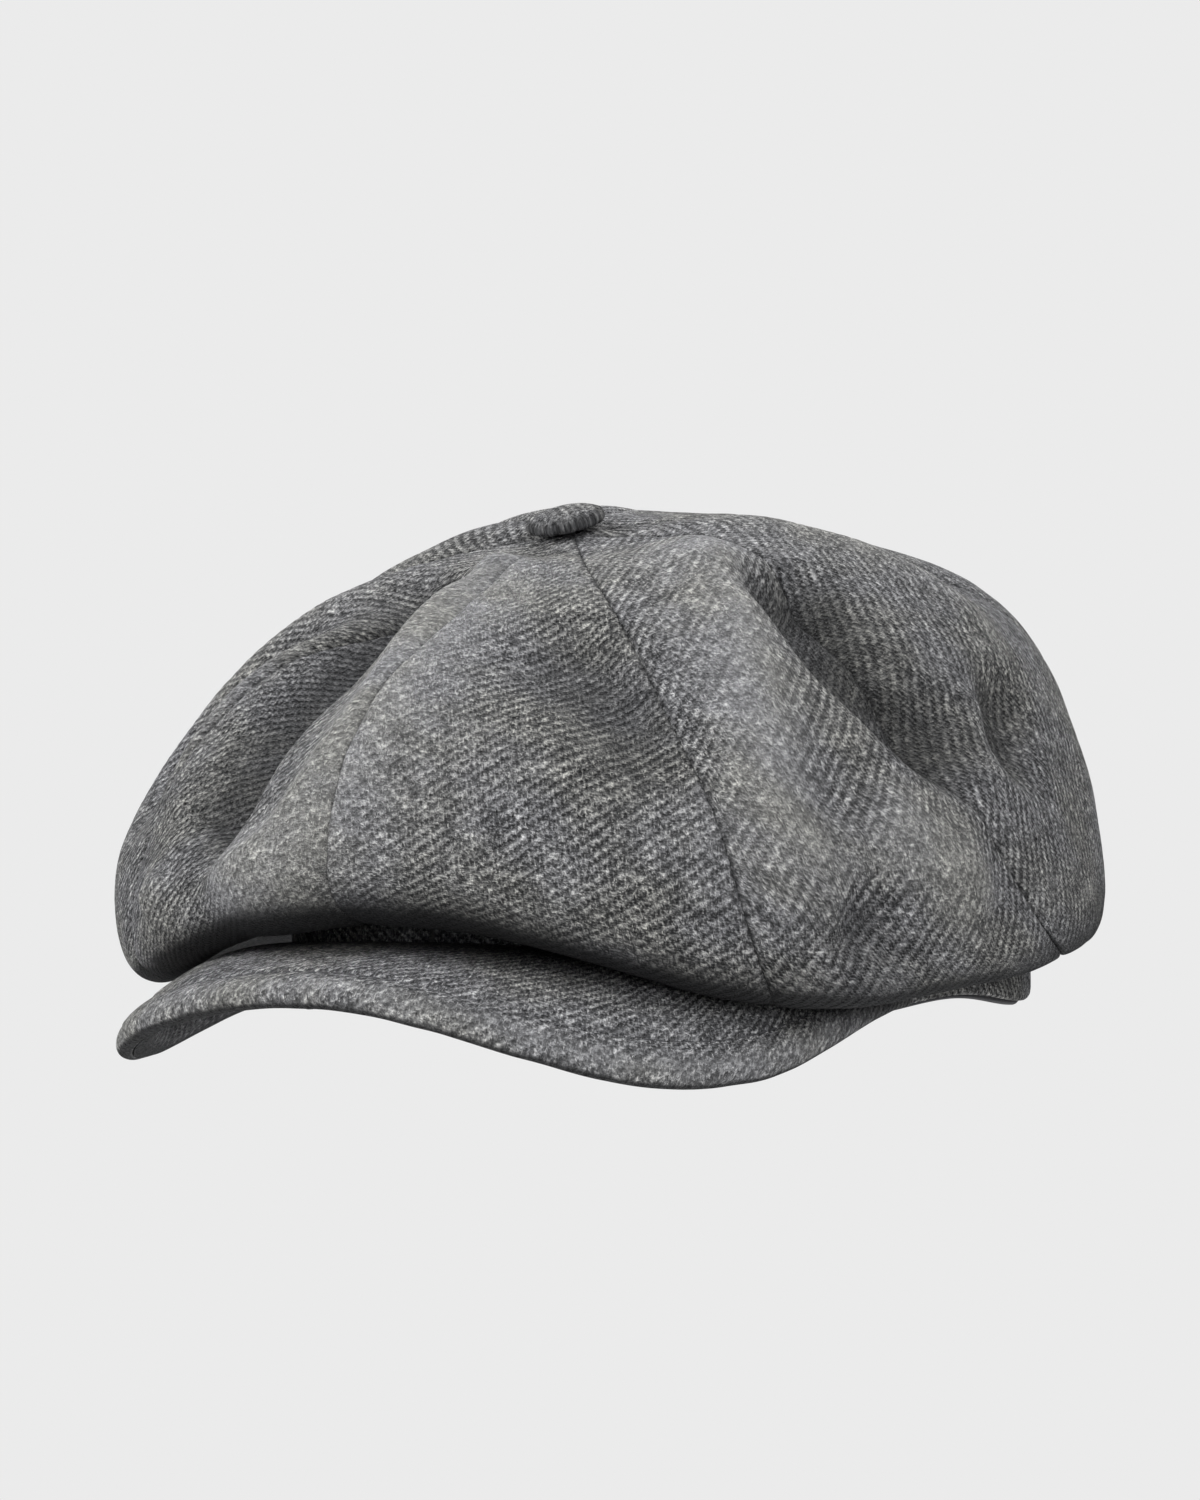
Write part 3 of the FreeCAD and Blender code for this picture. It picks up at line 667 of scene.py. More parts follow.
WOOL = wool_material("wool_twill")
SATIN = satin_material("satin_lining_cloth")
SWEAT = rib_material("sweatband_ribbed", (0.010, 0.010, 0.012), (0.045, 0.045, 0.052), 0.9, 0.72, 'y', 0.12)
TAPE = rib_material("buckram_tape", (0.38, 0.36, 0.31), (0.68, 0.66, 0.60), 0.8, 0.85, 'x', 0.0)
THREAD = solid_material("stitch_thread", (0.020, 0.020, 0.023), (0.085, 0.086, 0.092), 2.2, 0.7, bump=0.0001)
BOARD = solid_material("visor_board_sheet", (0.028, 0.028, 0.031), (0.075, 0.075, 0.080), 0.9, 0.55, bump=0.0002)
STEEL = solid_material("button_mould_steel", (0.42, 0.42, 0.43), (0.62, 0.62, 0.63), 1.2, 0.34, 1.0, 0.00006, (1, 1, 6))
SHANK = solid_material("waxed_shank_thread", (0.035, 0.035, 0.038), (0.12, 0.12, 0.125), 2.6, 0.6, bump=0.0002, stretch=(1, 1, 3))
FELT = solid_material("backing_felt_sheet", (0.055, 0.055, 0.058), (0.17, 0.17, 0.175), 1.4, 0.95, bump=0.0004)


def give(ob, mat):
    ob.data.materials.clear()
    ob.data.materials.append(mat)


def paint_downfacing_shade(ob, a=0.5, b=0.84, k=1.5):
    """Painted shade: cloth that faces the head or the ground is darkened."""
    me = ob.data
    no = np.empty(len(me.vertices) * 3)
    me.vertices.foreach_get("normal", no)
    at = me.attributes["painted_shade"].data
    h = np.empty(len(at))
    at.foreach_get("value", h)
    h = np.maximum(h, k * smooth(-no.reshape(-1, 3)[:, 2], a, b))
    at.foreach_set("value", h)


# ------------------------------------------------------------------ crown gores
PANELS = ["crown_panel_front_left", "crown_panel_side_front_left", "crown_panel_side_rear_left",
          "crown_panel_rear_left", "crown_panel_rear_right", "crown_panel_side_rear_right",
          "crown_panel_side_front_right", "crown_panel_front_right"]
NT_, NU_ = 178, 60
_near = np.array([0.0, 0.25, 0.55, 0.95, 1.5, 2.3, 3.4, 4.7]) / 82.0
_fr = np.concatenate([_near, np.linspace(6.2 / 82, 1 - 6.2 / 82, NU_ - 16), 1 - _near[::-1]])
TS = np.concatenate([np.linspace(0, 24, 30, endpoint=False), np.linspace(24, LT, NT_ - 30)])


def widths(u0, u1):
    uu = np.linspace(u0, u1, 33)
    P = S(uu[None, :], TS[:, None])
    return np.linalg.norm(np.diff(P, axis=1), axis=2).sum(1)


def gore(m):
    u0, u1 = float(m), float(m + 1)
    W = widths(u0, u1)
    gap = 0.07 / W
    fr = gap[:, None] + (1 - 2 * gap[:, None]) * _fr[None]
    U = u0 + fr
    T = np.repeat(TS[:, None], U.shape[1], 1)
    P = S(U, T)
    n = N(U, T)
    D = D_fold(P, U, T)
    e = np.minimum(fr, 1 - fr) * W[:, None]                     # distance from the nearest seam
    side = np.where(fr < 0.5, 0, 1)
    sw = np.clip(W[:, None] / 30.0, 0.25, 1)
    # the seam pulls the cloth in, unevenly, with small puckers beside it
    sid = np.where(fr < 0.5, u0, u1 % 8)
    along = np.stack([T, sid * 40.0, 0 * T], -1)
    pull = 0.62 + 0.30 * vnoise(along, 9, 5)
    roll = -pull * sw * np.exp(-(e / (0.75 * np.clip(sw, 0.5, 1))) ** 1.4)
    roll += -0.38 * sw * np.exp(-(e / 4.2) ** 2)
    puck = 0.13 * vnoise(along, 3.1, 6) * np.exp(-((e - 2.2) / 2.6) ** 2) * sw
    # the cloth swells softly between its seams
    swell = 0.9 * (1 - (2 * np.abs(fr - 0.5)) ** 2.2) * smooth(T, 6, 50) * (1 - smooth(T, 165, 203))
    d = D + roll + puck + swell
    Q = P + n * d[..., None]
    # inner face
    I = Q - n * WOOL_T
    # grain UV: x across the gore from its centre line, y towards the button
    x = np.cumsum(np.linalg.norm(np.diff(Q, axis=1, prepend=Q[:, :1]), axis=2), 1)
    x = x - x[:, [U.shape[1] // 2]]
    uv = np.stack([x, LT - T + 300 * m], -1)
    lap = D - 0.5 * (np.roll(D, 6, 1) + np.roll(D, -6, 1))
    F = D_fold(P, U, T) - drape(U, T)
    # painted highlight: lighter, flatter twill on the fold crests
    nap = np.clip(F / 5.0, 0, 1) ** 1.2
    # painted shade: darker in the hollows between folds and on the cloth turned under above the band, where shade falls
    painted_shade = np.maximum(np.clip(-F / 6.5, 0, 1), 1.15 * smooth(T, 160, 176))
    # the front seam lies hidden in the brushed nap of the fold beside the button
    front = np.where(fr < 0.5, u0, u1) % 8 == 0
    es = e + np.where(front, 0.45 + 1.75 * (1 - smooth(T, 52, 74)), 0)
    return slab("wool_" + PANELS[m], Q, I, uv, {"seam": es, "nap": nap, "painted_shade": painted_shade}), W


gores = []
for m_ in range(8):
    ob, W_ = gore(m_)
    give(ob, WOOL)
    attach(ob, "crown")
    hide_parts(PANELS[m_])
    gores.append(ob)
    # painted shade on the gores' down-facing cloth
    paint_downfacing_shade(ob)
    a_ = float(np.trapezoid(W_, TS)) if hasattr(np, "trapezoid") else float(np.trapz(W_, TS))
    print("gore", m_, "width %.1f area %.0f share %.2f" % (W_.max(), a_, a_ / (W_.max() * LT)))

# ------------------------------------------------------------------ lining
LININGS = ["lining_gore_front_left", "lining_gore_rear_left", "lining_gore_rear_right",
           "lining_gore_front_right"]


def lining(m):
    u0 = 2.0 * m
    fr = np.linspace(0, 1, 61)
    tt = np.linspace(0, LT, 110)
    P0 = S(u0 + 2 * fr[None], tt[:, None])
    W = np.linalg.norm(np.diff(P0, axis=1), axis=2).sum(1)
    f = 0.2 / W[:, None] + (1 - 0.4 / W[:, None]) * fr[None]
    U, T = u0 + 2 * f, np.repeat(tt[:, None], 61, 1)
    P, n = S(U, T), N(U, T)
    D = D_fold(P, U, T)
    e = np.minimum(f, 1 - f) * W[:, None]
    d = D - 3.5 - 0.4 * np.exp(-(e / 1.2) ** 2)
    # shirred a little along the band, as lining is
    ang = U * 45.0
    d += -0.35 * (0.5 + 0.5 * np.sin(np.radians(ang) * 60)) * smooth(T, 150, 195)
    Q = P + n * d[..., None]
    x = (f - 0.5) * W[:, None]
    uv = np.stack([x, LT - T + 300 * m], -1)
    return slab("satin_" + LININGS[m], Q, Q - n * 0.5, uv, {"seam": e})


for m_ in range(4):
    ob = lining(m_)
    give(ob, SATIN)
    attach(ob, "crown")
    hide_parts(LININGS[m_])
    wl_ = float(widths(2.0 * m_, 2.0 * m_ + 2).max())


# ------------------------------------------------------------------ headband layers
def ellipse(rx, ry, th):
    return np.stack([rx * np.sin(th), -ry * np.cos(th)], -1)


def ell_n(rx, ry, th):
    return unit(np.stack([np.sin(th) / rx, -np.cos(th) / ry], -1))


NB = 360
TH = np.arange(NB) / NB * 2 * math.pi


def sweep(name, prof_out, rx, ry, wob=0.0, seed=0, seam_at=None, attrs=None, close=True):
    """Closed ring: profile of (radial offset, z) points swept round the ellipse."""
    pr = np.array(prof_out, float)
    base = ellipse(rx, ry, TH)
    nn = ell_n(rx, ry, TH)
    k = len(pr)
    V = np.zeros((k, NB, 3))
    for i, (o, z) in enumerate(pr):
        V[i, :, :2] = base + nn * o
        rise = np.where(base[:, 1] < 0, BAND_ARCH * np.clip(1 - (base[:, 0] / BAND_ARCH_X) ** 2, 0, 1) ** 1.3, 0)
        az = np.degrees(np.arctan2(np.abs(base[:, 0]) / rx, -base[:, 1] / ry))
        rise = rise + 3.4 * np.exp(-((az - 80) / 15) ** 2) + 5.0 * smooth(az, 104, 130)
        V[i, :, 2] = z + rise * np.clip(1 - z / BAND_H, 0, 1.1)
    if wob:
        w = wob * (0.6 * vnoise(np.stack([V[..., 0], V[..., 1], V[..., 2] * 0.5], -1), 22, seed)
                   + 0.4 * vnoise(V, 7, seed + 1))
        V[..., :2] += nn[None] * w[..., None]
    if seam_at is not None:
        d = (TH - seam_at + math.pi) % (2 * math.pi) - math.pi
        s = d * (rx + ry) / 2
        V[..., :2] -= nn[None] * (0.7 * np.exp(-(s / 0.8) ** 2))[None, :, None]
    F = []
    for i in range(k):
        j = (i + 1) % k
        a = i * NB + np.arange(NB)
        b = j * NB + np.arange(NB)
        F.append(np.stack([a, np.roll(a, -1), np.roll(b, -1), b], -1))
    F = np.concatenate(F)
    per = np.concatenate([[0], np.cumsum(np.linalg.norm(np.diff(base, axis=0), axis=1))])
    uvx = np.broadcast_to(per[None], (k, NB))
    ll = np.concatenate([[0], np.cumsum(np.linalg.norm(np.diff(pr, axis=0), axis=1))])
    uvy = np.broadcast_to(ll[:, None], (k, NB))
    uv = np.stack([uvx, uvy], -1).reshape(-1, 2)
    at = {"seam": np.full(k * NB, 9.0), "nap": np.zeros(k * NB)}
    if seam_at is not None:
        at["seam"] = np.broadcast_to(np.abs(s)[None], (k, NB)).ravel()
    return new_obj(name, V.reshape(-1, 3), F, uv, at)


def arc(cx, cz, r, a0, a1, n):
    return [(cx + r * math.cos(math.radians(a)), cz + r * math.sin(math.radians(a))) for a in np.linspace(a0, a1, n)]


# wool band: outer face, rolled lower edge turned under, inner face, top edge
zs = np.linspace(27.6, 1.4, 16)
prof = [(-0.3, 28.0)] + [(0.0, z) for z in zs] + arc(-1.15, 1.25, 1.15, 0, -180, 9)[1:] \
    + [(-1.9, 1.6), (-1.75, 4.0)] + [(-1.8, z) for z in np.linspace(6, 27.4, 8)] + [(-1.3, 28.0)]
prof = [(o, z) for o, z in prof]
band = sweep("wool_headband", prof, BAND_RX, BAND_RY, 0.22, 21, seam_at=math.pi)
give(band, WOOL)
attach(band, "crown")
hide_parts("headband")

r_ = WOOL_T + LAYER_GAP
stiff = sweep("band_stiffener_tape", [(0, 27.0)] + [(0, z) for z in np.linspace(26, 2, 12)]
              + [(-0.1, 1.6), (-0.7, 1.6)] + [(-0.8, z) for z in np.linspace(2, 26, 12)] + [(-0.8, 27.0)],
              BAND_RX - r_, BAND_RY - r_, 0.0, 51)
give(stiff, TAPE)
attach(stiff, "crown")
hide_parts("band_stiffener")

r_ = WOOL_T + LAYER_GAP + STIFF_T + LAYER_GAP
# sweatband: inner face with a rolled lower edge that shows as a dark line below the wool
prof = [(0.0, 27.7)] + [(0.0, z) for z in np.linspace(26.5, 2.0, 12)] + [(0.25, 0.6)] \
    + arc(-0.1, -0.15, 0.75, 35, -190, 11) + [(-1.25, 1.2)] \
    + [(-1.2 - 0.12 * math.exp(-((z - 3.2) / 0.5) ** 2) * -1, z) for z in np.linspace(2.2, 4.4, 7)] \
    + [(-1.2, z) for z in np.linspace(6, 26, 9)] + [(-1.1, 27.6), (-0.6, 28.1)]
sweat = sweep("ribbed_sweatband", prof, BAND_RX - r_, BAND_RY - r_, 0.18, 31, seam_at=math.pi - 0.04)
give(sweat, SWEAT)
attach(sweat, "crown")
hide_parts("sweatband")

# ------------------------------------------------------------------ visor
_ve = np.array(V_EDGE)
_vl = np.concatenate([[0], np.cumsum(np.linalg.norm(np.diff(_ve, axis=0), axis=1))])
_vx = np.concatenate([-_vl[:0:-1], _vl])
_vp = np.concatenate([_ve[:0:-1] * np.array([-1, 1, 1]), _ve])


def natural_spline(x, Y, t):
    n = len(x)
    A = np.zeros((n, n))
    A[0, 0] = A[-1, -1] = 1
    B = np.zeros_like(Y)
    for i in range(1, n - 1):
        h0, h1 = x[i] - x[i - 1], x[i + 1] - x[i]
        A[i, i - 1:i + 2] = (h0, 2 * (h0 + h1), h1)
        B[i] = 6 * ((Y[i + 1] - Y[i]) / h1 - (Y[i] - Y[i - 1]) / h0)
    m = np.linalg.solve(A, B)
    i = np.clip(np.searchsorted(x, t, side='right') - 1, 0, n - 2)
    h = (x[i + 1] - x[i])[..., None]
    a, b = (x[i + 1] - t)[..., None] / h, (t - x[i])[..., None] / h
    return a * Y[i] + b * Y[i + 1] + ((a ** 3 - a) * m[i] + (b ** 3 - b) * m[i + 1]) * h * h / 6


# how a worn visor strays from its pattern, mm, from its right end to its left one:
# rim height, height half way out, root height
V_WORN = np.array([(0, 0, 0), (0.1, 0.9, 0), (0.4, 1.8, 0), (1.5, 1.9, -0.2), (0.8, 0.2, -0.6), (-0.2, -0.9, -1.0),
                   (-0.5, -1.9, -1.2), (-0.7, -2.5, -0.8), (-0.6, -2.5, -0.3), (-1.0, -0.9, -0.1), (0, 0, 0)])


def v_root(q, gap=VISOR_GAP):
    a = np.radians(VISOR_END_DEG) * q
    return np.stack([(BAND_RX + gap) * np.sin(a), -(BAND_RY + gap) * np.cos(a),
                     V_ROOT_END + (V_ROOT_TOP - V_ROOT_END) * np.clip(1 - q * q, 0, 1) ** V_ROOT_POW], -1)


def v_edge(q):
    return natural_spline(_vx, _vp, _vl[-1] * q)


def v_mid(q, s):
    a, b = v_root(q), v_edge(q)
    p = a + (b - a) * s[..., None]
    w = np.linalg.norm(b - a, axis=-1)
    p[..., 2] = a[..., 2] + (b[..., 2] - a[..., 2]) * s ** V_CAMBER + 0.02 * w * 4 * s * (1 - s)
    # worn a little out of true
    p[..., 2] += 0.7 * s * (np.exp(-((q + 0.35) / 0.22) ** 2) - np.exp(-((q - 0.35) / 0.22) ** 2))
    w3 = natural_spline(np.linspace(-1, 1, 11), V_WORN, np.asarray(q, float))
    p[..., 2] += w3[..., 0] * s * s + w3[..., 1] * 4 * s * (1 - s) + w3[..., 2] * (1 - s)
    return p


def v_normal(q, s):
    e = 0.01
    n = np.cross(v_mid(np.clip(q + e, -1, 1), s) - v_mid(np.clip(q - e, -1, 1), s),
                 v_mid(q, np.clip(s + e, 0, 1)) - v_mid(q, np.clip(s - e, 0, 1)))
    n = unit(n)
    return n * np.where(n[..., 2:] > 0, 1, -1)


def v_across(q, s):
    k = smooth(s / 0.6)[..., None]
    return unit(v_normal(q, s) * k + np.array([0, 0, 1.0]) * (1 - k))


def taper(q):
    a = np.abs(q)
    return np.where(a < 0.7, 1.0, 1.0 - 0.62 * (np.clip(a - 0.7, 0, 1) / 0.3) ** 1.5)


NQ = 261
QS = np.linspace(-1, 1, NQ)
RIM_R = 3.3
STITCH_D = 8.5


def v_section(q, top=True):
    """Width from root to rim, taper, rim rounding radius and half thickness of the visor at q."""
    w = float(np.linalg.norm(v_edge(np.array([q]))[0] - v_root(np.array([q]))[0]))
    tp = float(taper(np.array([q]))[0])
    R, H = min(RIM_R, w * 0.45) * 1.0, VISOR_HALF_T * tp
    return w, tp, R, H


def visor_cover(top):
    sgn = 1.0 if top else -1.0
    rootn = 40
    arcn = 18
    outer, inner, uvs, seam, nap, painted_shade_rows = [], [], [], [], [], []
    for q in QS:
        w, tp, R, H = v_section(q, top)
        d_root = np.concatenate([[w + 0.55], np.linspace(w, R, rootn)])
        # flat part, root to where the rim's rounding starts
        ho = np.full(len(d_root), H)
        # stitched groove, the strip between it and the rim stands up as a soft roll
        gv = 0.55 * np.exp(-((d_root - STITCH_D) / 0.9) ** 2) * smooth(w, 14, 20)
        rl = 0.35 * np.exp(-((d_root - 4.6) / 2.4) ** 2)
        ho = ho - (gv - rl) * tp
        if top:
            ph = np.radians(np.linspace(90, -48, arcn))[1:]
        else:
            ph = np.radians(np.linspace(90, 54, 8))[1:]
        do = np.concatenate([d_root, R - R * np.cos(ph)])
        hh = H * np.sin(ph)
        ho = np.concatenate([ho, hh])
        th_ = 1.35 * tp
        hi_ = np.full(len(d_root), H - th_)
        di = np.concatenate([d_root, R - (R - th_) * np.cos(ph)])
        hi_ = np.concatenate([hi_, (H - th_) * np.sin(ph)])
        n = len(do)
        qq = np.full(n, q)
        for dd, hhh, store in ((do, ho, outer), (di, hi_, inner)):
            s = 1 - dd / w
            sc = np.clip(s, 0, 1)
            p = v_mid(qq, sc)
            ac = v_across(qq, sc)
            p = p + ac * (sgn * hhh)[:, None]
            # beyond the root towards the band
            ext = np.clip(-s, 0, 1)[:, None] * w
            inward = unit(v_root(np.array([q]), -0.5)[0] - v_root(np.array([q]))[0])
            p = p + inward[None] * ext
            store.append(p)
        arcl = np.concatenate([[0], np.cumsum(np.linalg.norm(np.diff(outer[-1], axis=0), axis=1))])
        edge_len = _vl[-1] * q
        uvs.append(np.stack([np.full(n, edge_len * 0.96), -(arcl - arcl[-1]) * 1.0 + (0 if top else 400)], -1))
        seam.append(np.concatenate([np.full(n - 1, 9.0), [0.3]]))
        # lighter, flatter twill along the rim's rounding, as on the crests
        nap.append(np.clip(0.7 * np.exp(-((do - 2.0) / 2.5) ** 2), 0, 1))
        # painted shade: darker towards the root, where the crown shades the visor, and the whole under cover darker, as
        # it lies in shade
        painted_shade_rows.append((1.0 - smooth(w - do, 6, 22)) * (1.0 if top else 0.6) + (0.0 if top else 0.75))
    O, I = np.array(outer), np.array(inner)
    nn = grid_normals(O)
    flat = np.abs(O)
    amp = 0.22 * vnoise(O, 16, 41 if top else 43) + 0.10 * vnoise(O, 6, 42)
    fade = smooth(np.linspace(0, 1, O.shape[1]), 0.0, 0.25)[None, :, None]
    O = O + np.array([0, 0, 1.0]) * (amp[..., None] * fade)
    return slab("wool_visor_top_cover" if top else "wool_visor_under_cover", O, I, np.array(uvs),
                {"seam": np.array(seam), "nap": np.array(nap), "painted_shade": np.array(painted_shade_rows)}), O


vt, VT = visor_cover(True)
vu, VU = visor_cover(False)
for ob, nd in ((vt, "visor_top_cover"), (vu, "visor_under_cover")):
    give(ob, WOOL)
    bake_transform(ob)
    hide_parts(nd)
    # painted shade on the covers' down-facing cloth
    paint_downfacing_shade(ob, 0.4, 0.75, 1.4)


def visor_board():
    g = [[], []]
    for q in np.linspace(-0.80, 0.80, 81):
        w = float(np.linalg.norm(v_edge(np.array([q]))[0] - v_root(np.array([q]))[0]))
        s = np.linspace(1.6 / w, 1 - 5.2 / w, 20)
        qq = np.full(20, q)
        for k, sg in ((0, 1.0), (1, -1.0)):
            g[k].append(v_mid(qq, s) + v_across(qq, s) * (sg * taper(qq) * 0.9)[:, None])
    A, B = np.array(g[0]), np.array(g[1])
    uv = np.stack([A[..., 0], A[..., 1]], -1)
    return slab("stiff_visor_board", A, B, uv)


vb = visor_board()
give(vb, BOARD)
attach(vb, "visor")
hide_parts("visor_board")


def tube_pieces(name, segs, radius, mat, sides=6):
    """Short rounded thread lengths: each seg is (points k x 3, up k x 3)."""
    V, F = [], []
    base = 0
    for pts, up in segs:
        pts = np.asarray(pts)
        k = len(pts)
        t = unit(np.gradient(pts, axis=0))
        b = unit(np.cross(t, up))
        c = np.cross(b, t)
        prof = np.sqrt(np.clip(1 - np.linspace(-1, 1, k) ** 4, 0.06, 1)) * radius
        a = np.arange(sides) / sides * 2 * math.pi
        ringv = pts[:, None] + prof[:, None, None] * (np.cos(a)[None, :, None] * b[:, None] + np.sin(a)[None, :, None] * c[:, None])
        V.append(ringv.reshape(-1, 3))
        for i in range(k - 1):
            for j in range(sides):
                j2 = (j + 1) % sides
                F.append((base + i * sides + j, base + i * sides + j2, base + (i + 1) * sides + j2, base + (i + 1) * sides + j))
        F.append(tuple(base + j for j in reversed(range(sides))))
        F.append(tuple(base + (k - 1) * sides + j for j in range(sides)))
        base += k * sides
    ob = new_obj(name, np.concatenate(V), F, None, None, None)
    give(ob, mat)
    return ob


def visor_stitches(top):
    sgn = 1.0 if top else -1.0
    qs = np.linspace(-0.86, 0.86, 1600)
    P = []
    for q in qs:
        w, tp, R, H = v_section(q)
        s = np.array([1 - STITCH_D / w])
        qq = np.array([q])
        P.append(v_mid(qq, s)[0] + v_across(qq, s)[0] * sgn * (H - 0.52 * tp * 0.75))
    P = np.array(P)
    cum = np.concatenate([[0], np.cumsum(np.linalg.norm(np.diff(P, axis=0), axis=1))])
    pitch, ln = 3.1, 2.3
    segs = []
    k = int(cum[-1] / pitch)
    for i in range(k):
        a = i * pitch + 0.3
        tt = a + np.linspace(0, ln, 7)
        pts = np.stack([np.interp(tt, cum, P[:, c]) for c in range(3)], -1)
        arch = 0.10 * np.sin(np.linspace(0, math.pi, 7)) - 0.12
        up = np.repeat(np.array([[0, 0, sgn]]), 7, 0)
        segs.append((pts + up * arch[:, None], up))
    ob = tube_pieces("visor_stitching_top" if top else "visor_stitching_under", segs, 0.24, THREAD)
    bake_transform(ob)
    return ob


visor_stitches(True)
visor_stitches(False)

# ------------------------------------------------------------------ button
def btn(r, a, z):
    return (BUTTON_C + (r * np.sin(a))[..., None] * X_AX - (r * np.cos(a))[..., None] * E_BTN + z[..., None] * N_BTN)


def button():
    lift = 1.0
    pr = [(9.0 * math.sin(k / 16 * math.pi / 2), 1.9 + 3.3 * math.cos(k / 16 * math.pi / 2)) for k in range(1, 17)]
    pr += [(9.02, 1.4), (8.9, 0.9), (8.5, 0.45), (7.9, 0.25), (7.4, 0.5), (7.4, 1.0), (7.95, 1.5), (8.05, 2.0)]
    pr += [(8.05 * math.sin(k / 8 * math.pi / 2), 2.0 + 2.35 * math.cos(k / 8 * math.pi / 2)) for k in range(7, 0, -1)]
    n = 72
    A = np.arange(n) / n * 2 * math.pi
    V, uv, nap = [], [], []
    for i, (r, z) in enumerate(pr):
        rr = np.full(n, r)
        zz = np.full(n, z)
        if i < 20:
            pk = smooth(r, 6.0, 9.0)
            w = 0.16 * np.sin(A * 11 + 1.3 * np.sin(A * 3)) + 0.10 * np.sin(A * 19 + 0.7)
            rr = rr + pk * w
            zz = zz - pk * 0.12 * np.cos(A * 11 + 1.3 * np.sin(A * 3)) + 0.10 * vnoise(np.stack([rr * np.cos(A), rr * np.sin(A), zz], -1), 3.0, 55)
        V.append(btn(rr, A, zz + lift))
        uv.append(np.stack([rr * np.sin(A), rr * np.cos(A) - 40 * (i >= 20)], -1))
        nap.append(np.full(n, 0.15))
    V = np.concatenate(V)
    k = len(pr)
    F = []
    for i in range(k - 1):
        for j in range(n):
            j2 = (j + 1) % n
            F.append((i * n + j, i * n + j2, (i + 1) * n + j2, (i + 1) * n + j))
    top = len(V)
    V = np.concatenate([V, btn(np.zeros(2), np.zeros(2), np.array([5.2 + lift, 4.35 + lift]))])
    uv = np.concatenate([np.concatenate(uv), [[0, 0], [0, -40]]])
    for j in range(n):
        j2 = (j + 1) % n
        F.append((top, j2, j))
        F.append((top + 1, (k - 1) * n + j, (k - 1) * n + j2))
    # painted shade: the button a little darker all over, and fully darkened at its rolled edge and underside, where its
    # shadow falls
    ob = new_obj("wool_button_cover", V, F, uv, {"seam": np.full(len(V), 9.0), "nap": np.full(len(V), 0.1),
                                                   "painted_shade": np.concatenate([np.concatenate([np.full(n, 0.25 + 0.75 * float(smooth(r, 6.5, 9.0) if i < 20 else 1)) for i, (r, z) in enumerate(pr)]), [0.2, 1.0]])})
    give(ob, WOOL)
    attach(ob, "button")
    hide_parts("button_cover")
    return ob


button()

# ------------------------------------------------------------------ carried-over CAD pieces
for nd, mt in (("button_shell", STEEL),
               ("button_back", STEEL), ("button_shank", SHANK), ("button_backing_disc", FELT)):
    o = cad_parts[nd]
    if len(o.material_slots) == 0:
        o.data.materials.append(mt)
    for ms in o.material_slots:
        ms.link = 'OBJECT'
        ms.material = mt

# ------------------------------------------------------------------ stage, light, camera
BG = 0.831
w = bpy.data.worlds.new("studio")
bpy.context.scene.world = w
w.use_nodes = True
nt = w.node_tree
nt.nodes.clear()
out = nt.nodes.new("ShaderNodeOutputWorld")
b1, b2 = nt.nodes.new("ShaderNodeBackground"), nt.nodes.new("ShaderNodeBackground")
b1.inputs[0].default_value = (1, 1, 1, 1)
b1.inputs[1].default_value = 0.12
b2.inputs[0].default_value = (BG, BG, BG, 1)
b2.inputs[1].default_value = 1.0
lp = nt.nodes.new("ShaderNodeLightPath")
mx = nt.nodes.new("ShaderNodeMixShader")
nt.links.new(lp.outputs["Is Camera Ray"], mx.inputs[0])
nt.links.new(b1.outputs[0], mx.inputs[1])
nt.links.new(b2.outputs[0], mx.inputs[2])
nt.links.new(mx.outputs[0], out.inputs[0])

FLOOR_Z = -0.34
me = bpy.data.meshes.new("studio_floor")
me.from_pydata([(-9, -9, FLOOR_Z), (9, -9, FLOOR_Z), (9, 9, FLOOR_Z), (-9, 9, FLOOR_Z)], [], [(0, 1, 2, 3)])
floor = bpy.data.objects.new("studio_floor", me)
bpy.context.scene.collection.objects.link(floor)
fm, fnt, fb = mat_new("studio_floor_paper")
fg = G(fnt)
pos = fg.obj()
rad = fnt.nodes.new("ShaderNodeVectorMath")
rad.operation = 'LENGTH'
fnt.links.new(pos, rad.inputs[0])
far = fg.map(rad.outputs["Value"], 0.55, 0.95, 0.0, 1.0, True)
fb.inputs["Base Color"].default_value = (0.72, 0.72, 0.72, 1)
fb.inputs["Roughness"].default_value = 0.9
fb.inputs["Specular IOR Level"].default_value = 0.1
em = fnt.nodes.new("ShaderNodeEmission")
em.inputs[0].default_value = (BG, BG, BG, 1)
lp2 = fnt.nodes.new("ShaderNodeLightPath")
fnt.links.new(fg.map(lp2.outputs["Is Camera Ray"], 0, 1, 0.42, 1.0), em.inputs[1])
mx2 = fnt.nodes.new("ShaderNodeMixShader")
fnt.links.new(far, mx2.inputs[0])
fnt.links.new(fb.outputs[0], mx2.inputs[1])
fnt.links.new(em.outputs[0], mx2.inputs[2])
fo = [n for n in fnt.nodes if n.type == 'OUTPUT_MATERIAL'][0]
fnt.links.new(mx2.outputs[0], fo.inputs[0])
me.materials.append(fm)


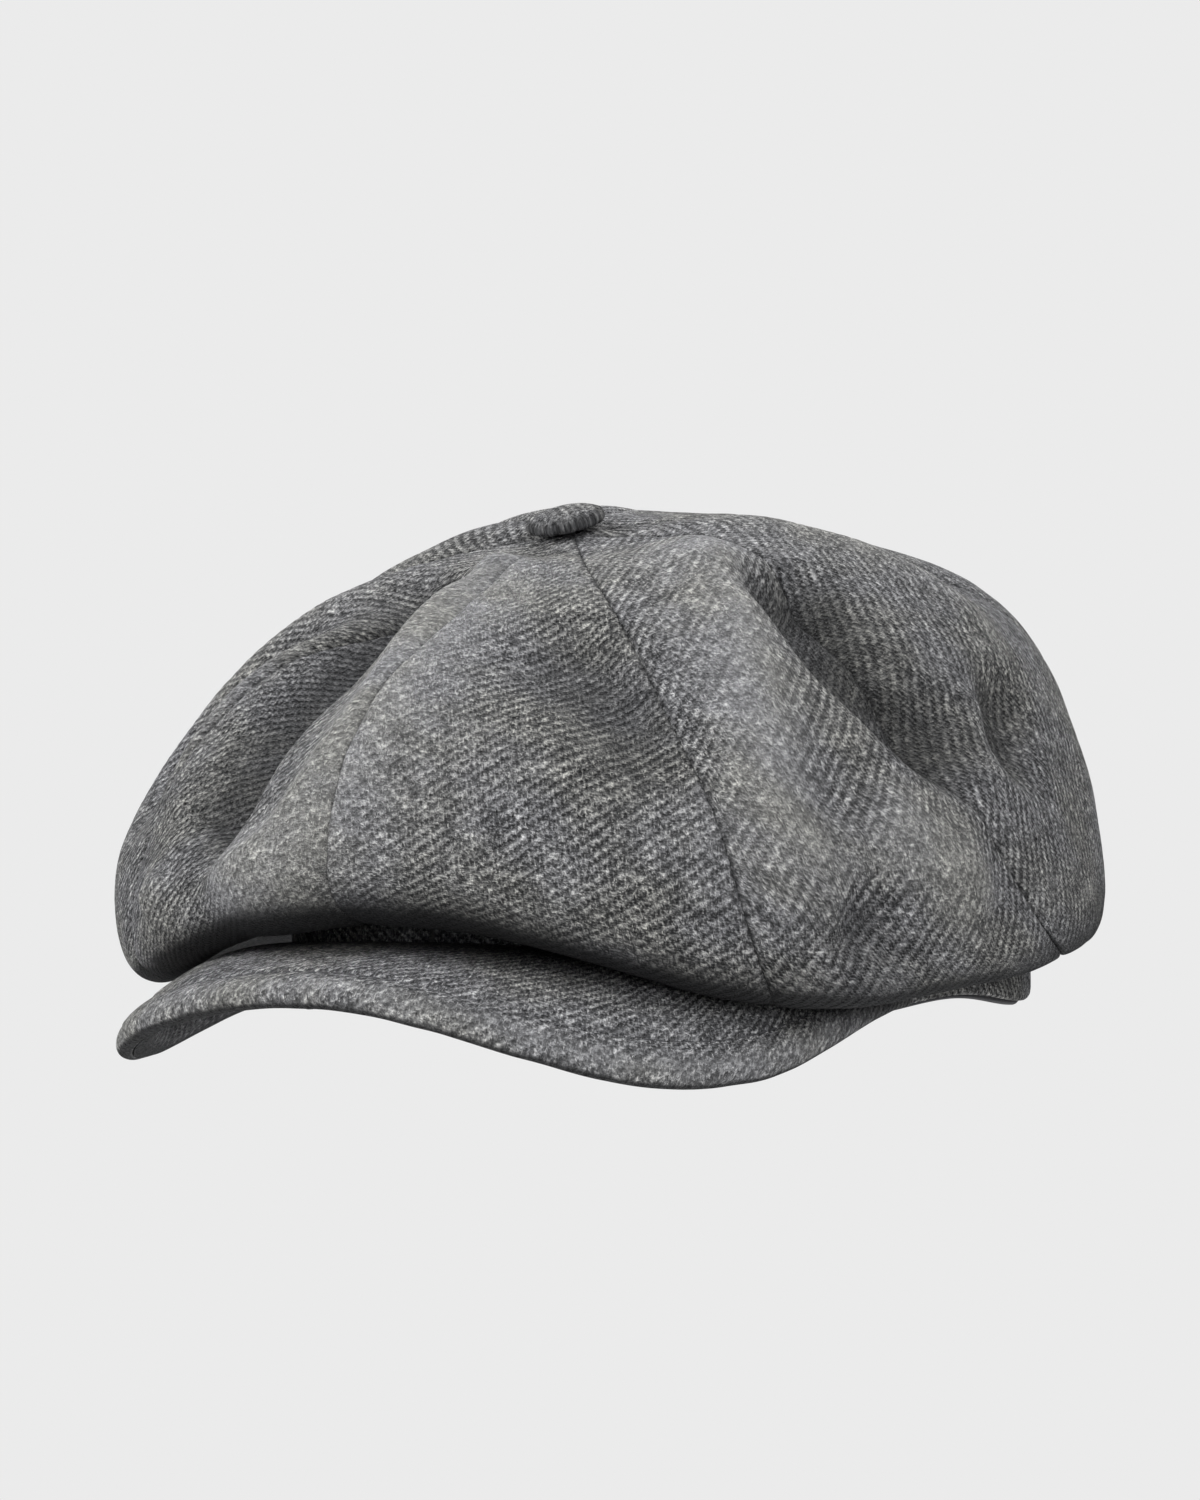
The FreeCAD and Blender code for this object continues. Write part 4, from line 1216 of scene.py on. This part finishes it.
def area(name, loc, target, size, power):
    li = bpy.data.lights.new(name, 'AREA')
    li.shape = 'DISK'
    li.size = size
    li.energy = power
    o = bpy.data.objects.new(name, li)
    o.location = loc
    o.rotation_euler = (Vector(target) - Vector(loc)).to_track_quat('-Z', 'Y').to_euler()
    bpy.context.scene.collection.objects.link(o)
    return o


AZ, EL, ROLL, DIST = math.radians(30.063), math.radians(-3.335), math.radians(-0.777), 610.64
back = np.array([math.sin(AZ) * math.cos(EL), -math.cos(AZ) * math.cos(EL), math.sin(EL)])
right = np.array([math.cos(AZ), math.sin(AZ), 0])
up = np.cross(back, right)
right2 = right * math.cos(ROLL) + up * math.sin(ROLL)
up2 = up * math.cos(ROLL) - right * math.sin(ROLL)
cam_c = (-17.28 * right2 + 62.48 * up2 + DIST * back) * MM
cd = bpy.data.cameras.new("camera")
cd.sensor_width = 36.0
cd.lens = 59.4
cd.clip_start, cd.clip_end = 0.02, 50
cam = bpy.data.objects.new("camera", cd)
cam.matrix_world = Matrix(((right2[0], up2[0], back[0], cam_c[0]), (right2[1], up2[1], back[1], cam_c[1]),
                           (right2[2], up2[2], back[2], cam_c[2]), (0, 0, 0, 1)))
bpy.context.scene.collection.objects.link(cam)
bpy.context.scene.camera = cam


def around(az, el, d):
    a, e = math.radians(az), math.radians(el)
    return (d * math.sin(a) * math.cos(e), -d * math.cos(a) * math.cos(e), 0.05 + d * math.sin(e))


area("front_left", around(-25, 40, 1.35), (0, -0.02, 0.05), 0.7, 7.3)
area("left_low", around(-60, 25, 1.35), (0, -0.02, 0.05), 0.9, 12.6)
area("front_right", around(62, 40, 1.35), (0, -0.02, 0.05), 0.7, 6.7)
area("front_low", around(40, 14, 1.35), (0, -0.02, 0.05), 0.9, 7.7)
area("back", around(190, 48, 1.35), (0, -0.02, 0.05), 0.7, 14.0)

sc = bpy.context.scene
sc.view_settings.view_transform = 'Standard'
sc.view_settings.look = 'None'
sc.view_settings.exposure = 0.0
sc.view_settings.gamma = 1.0
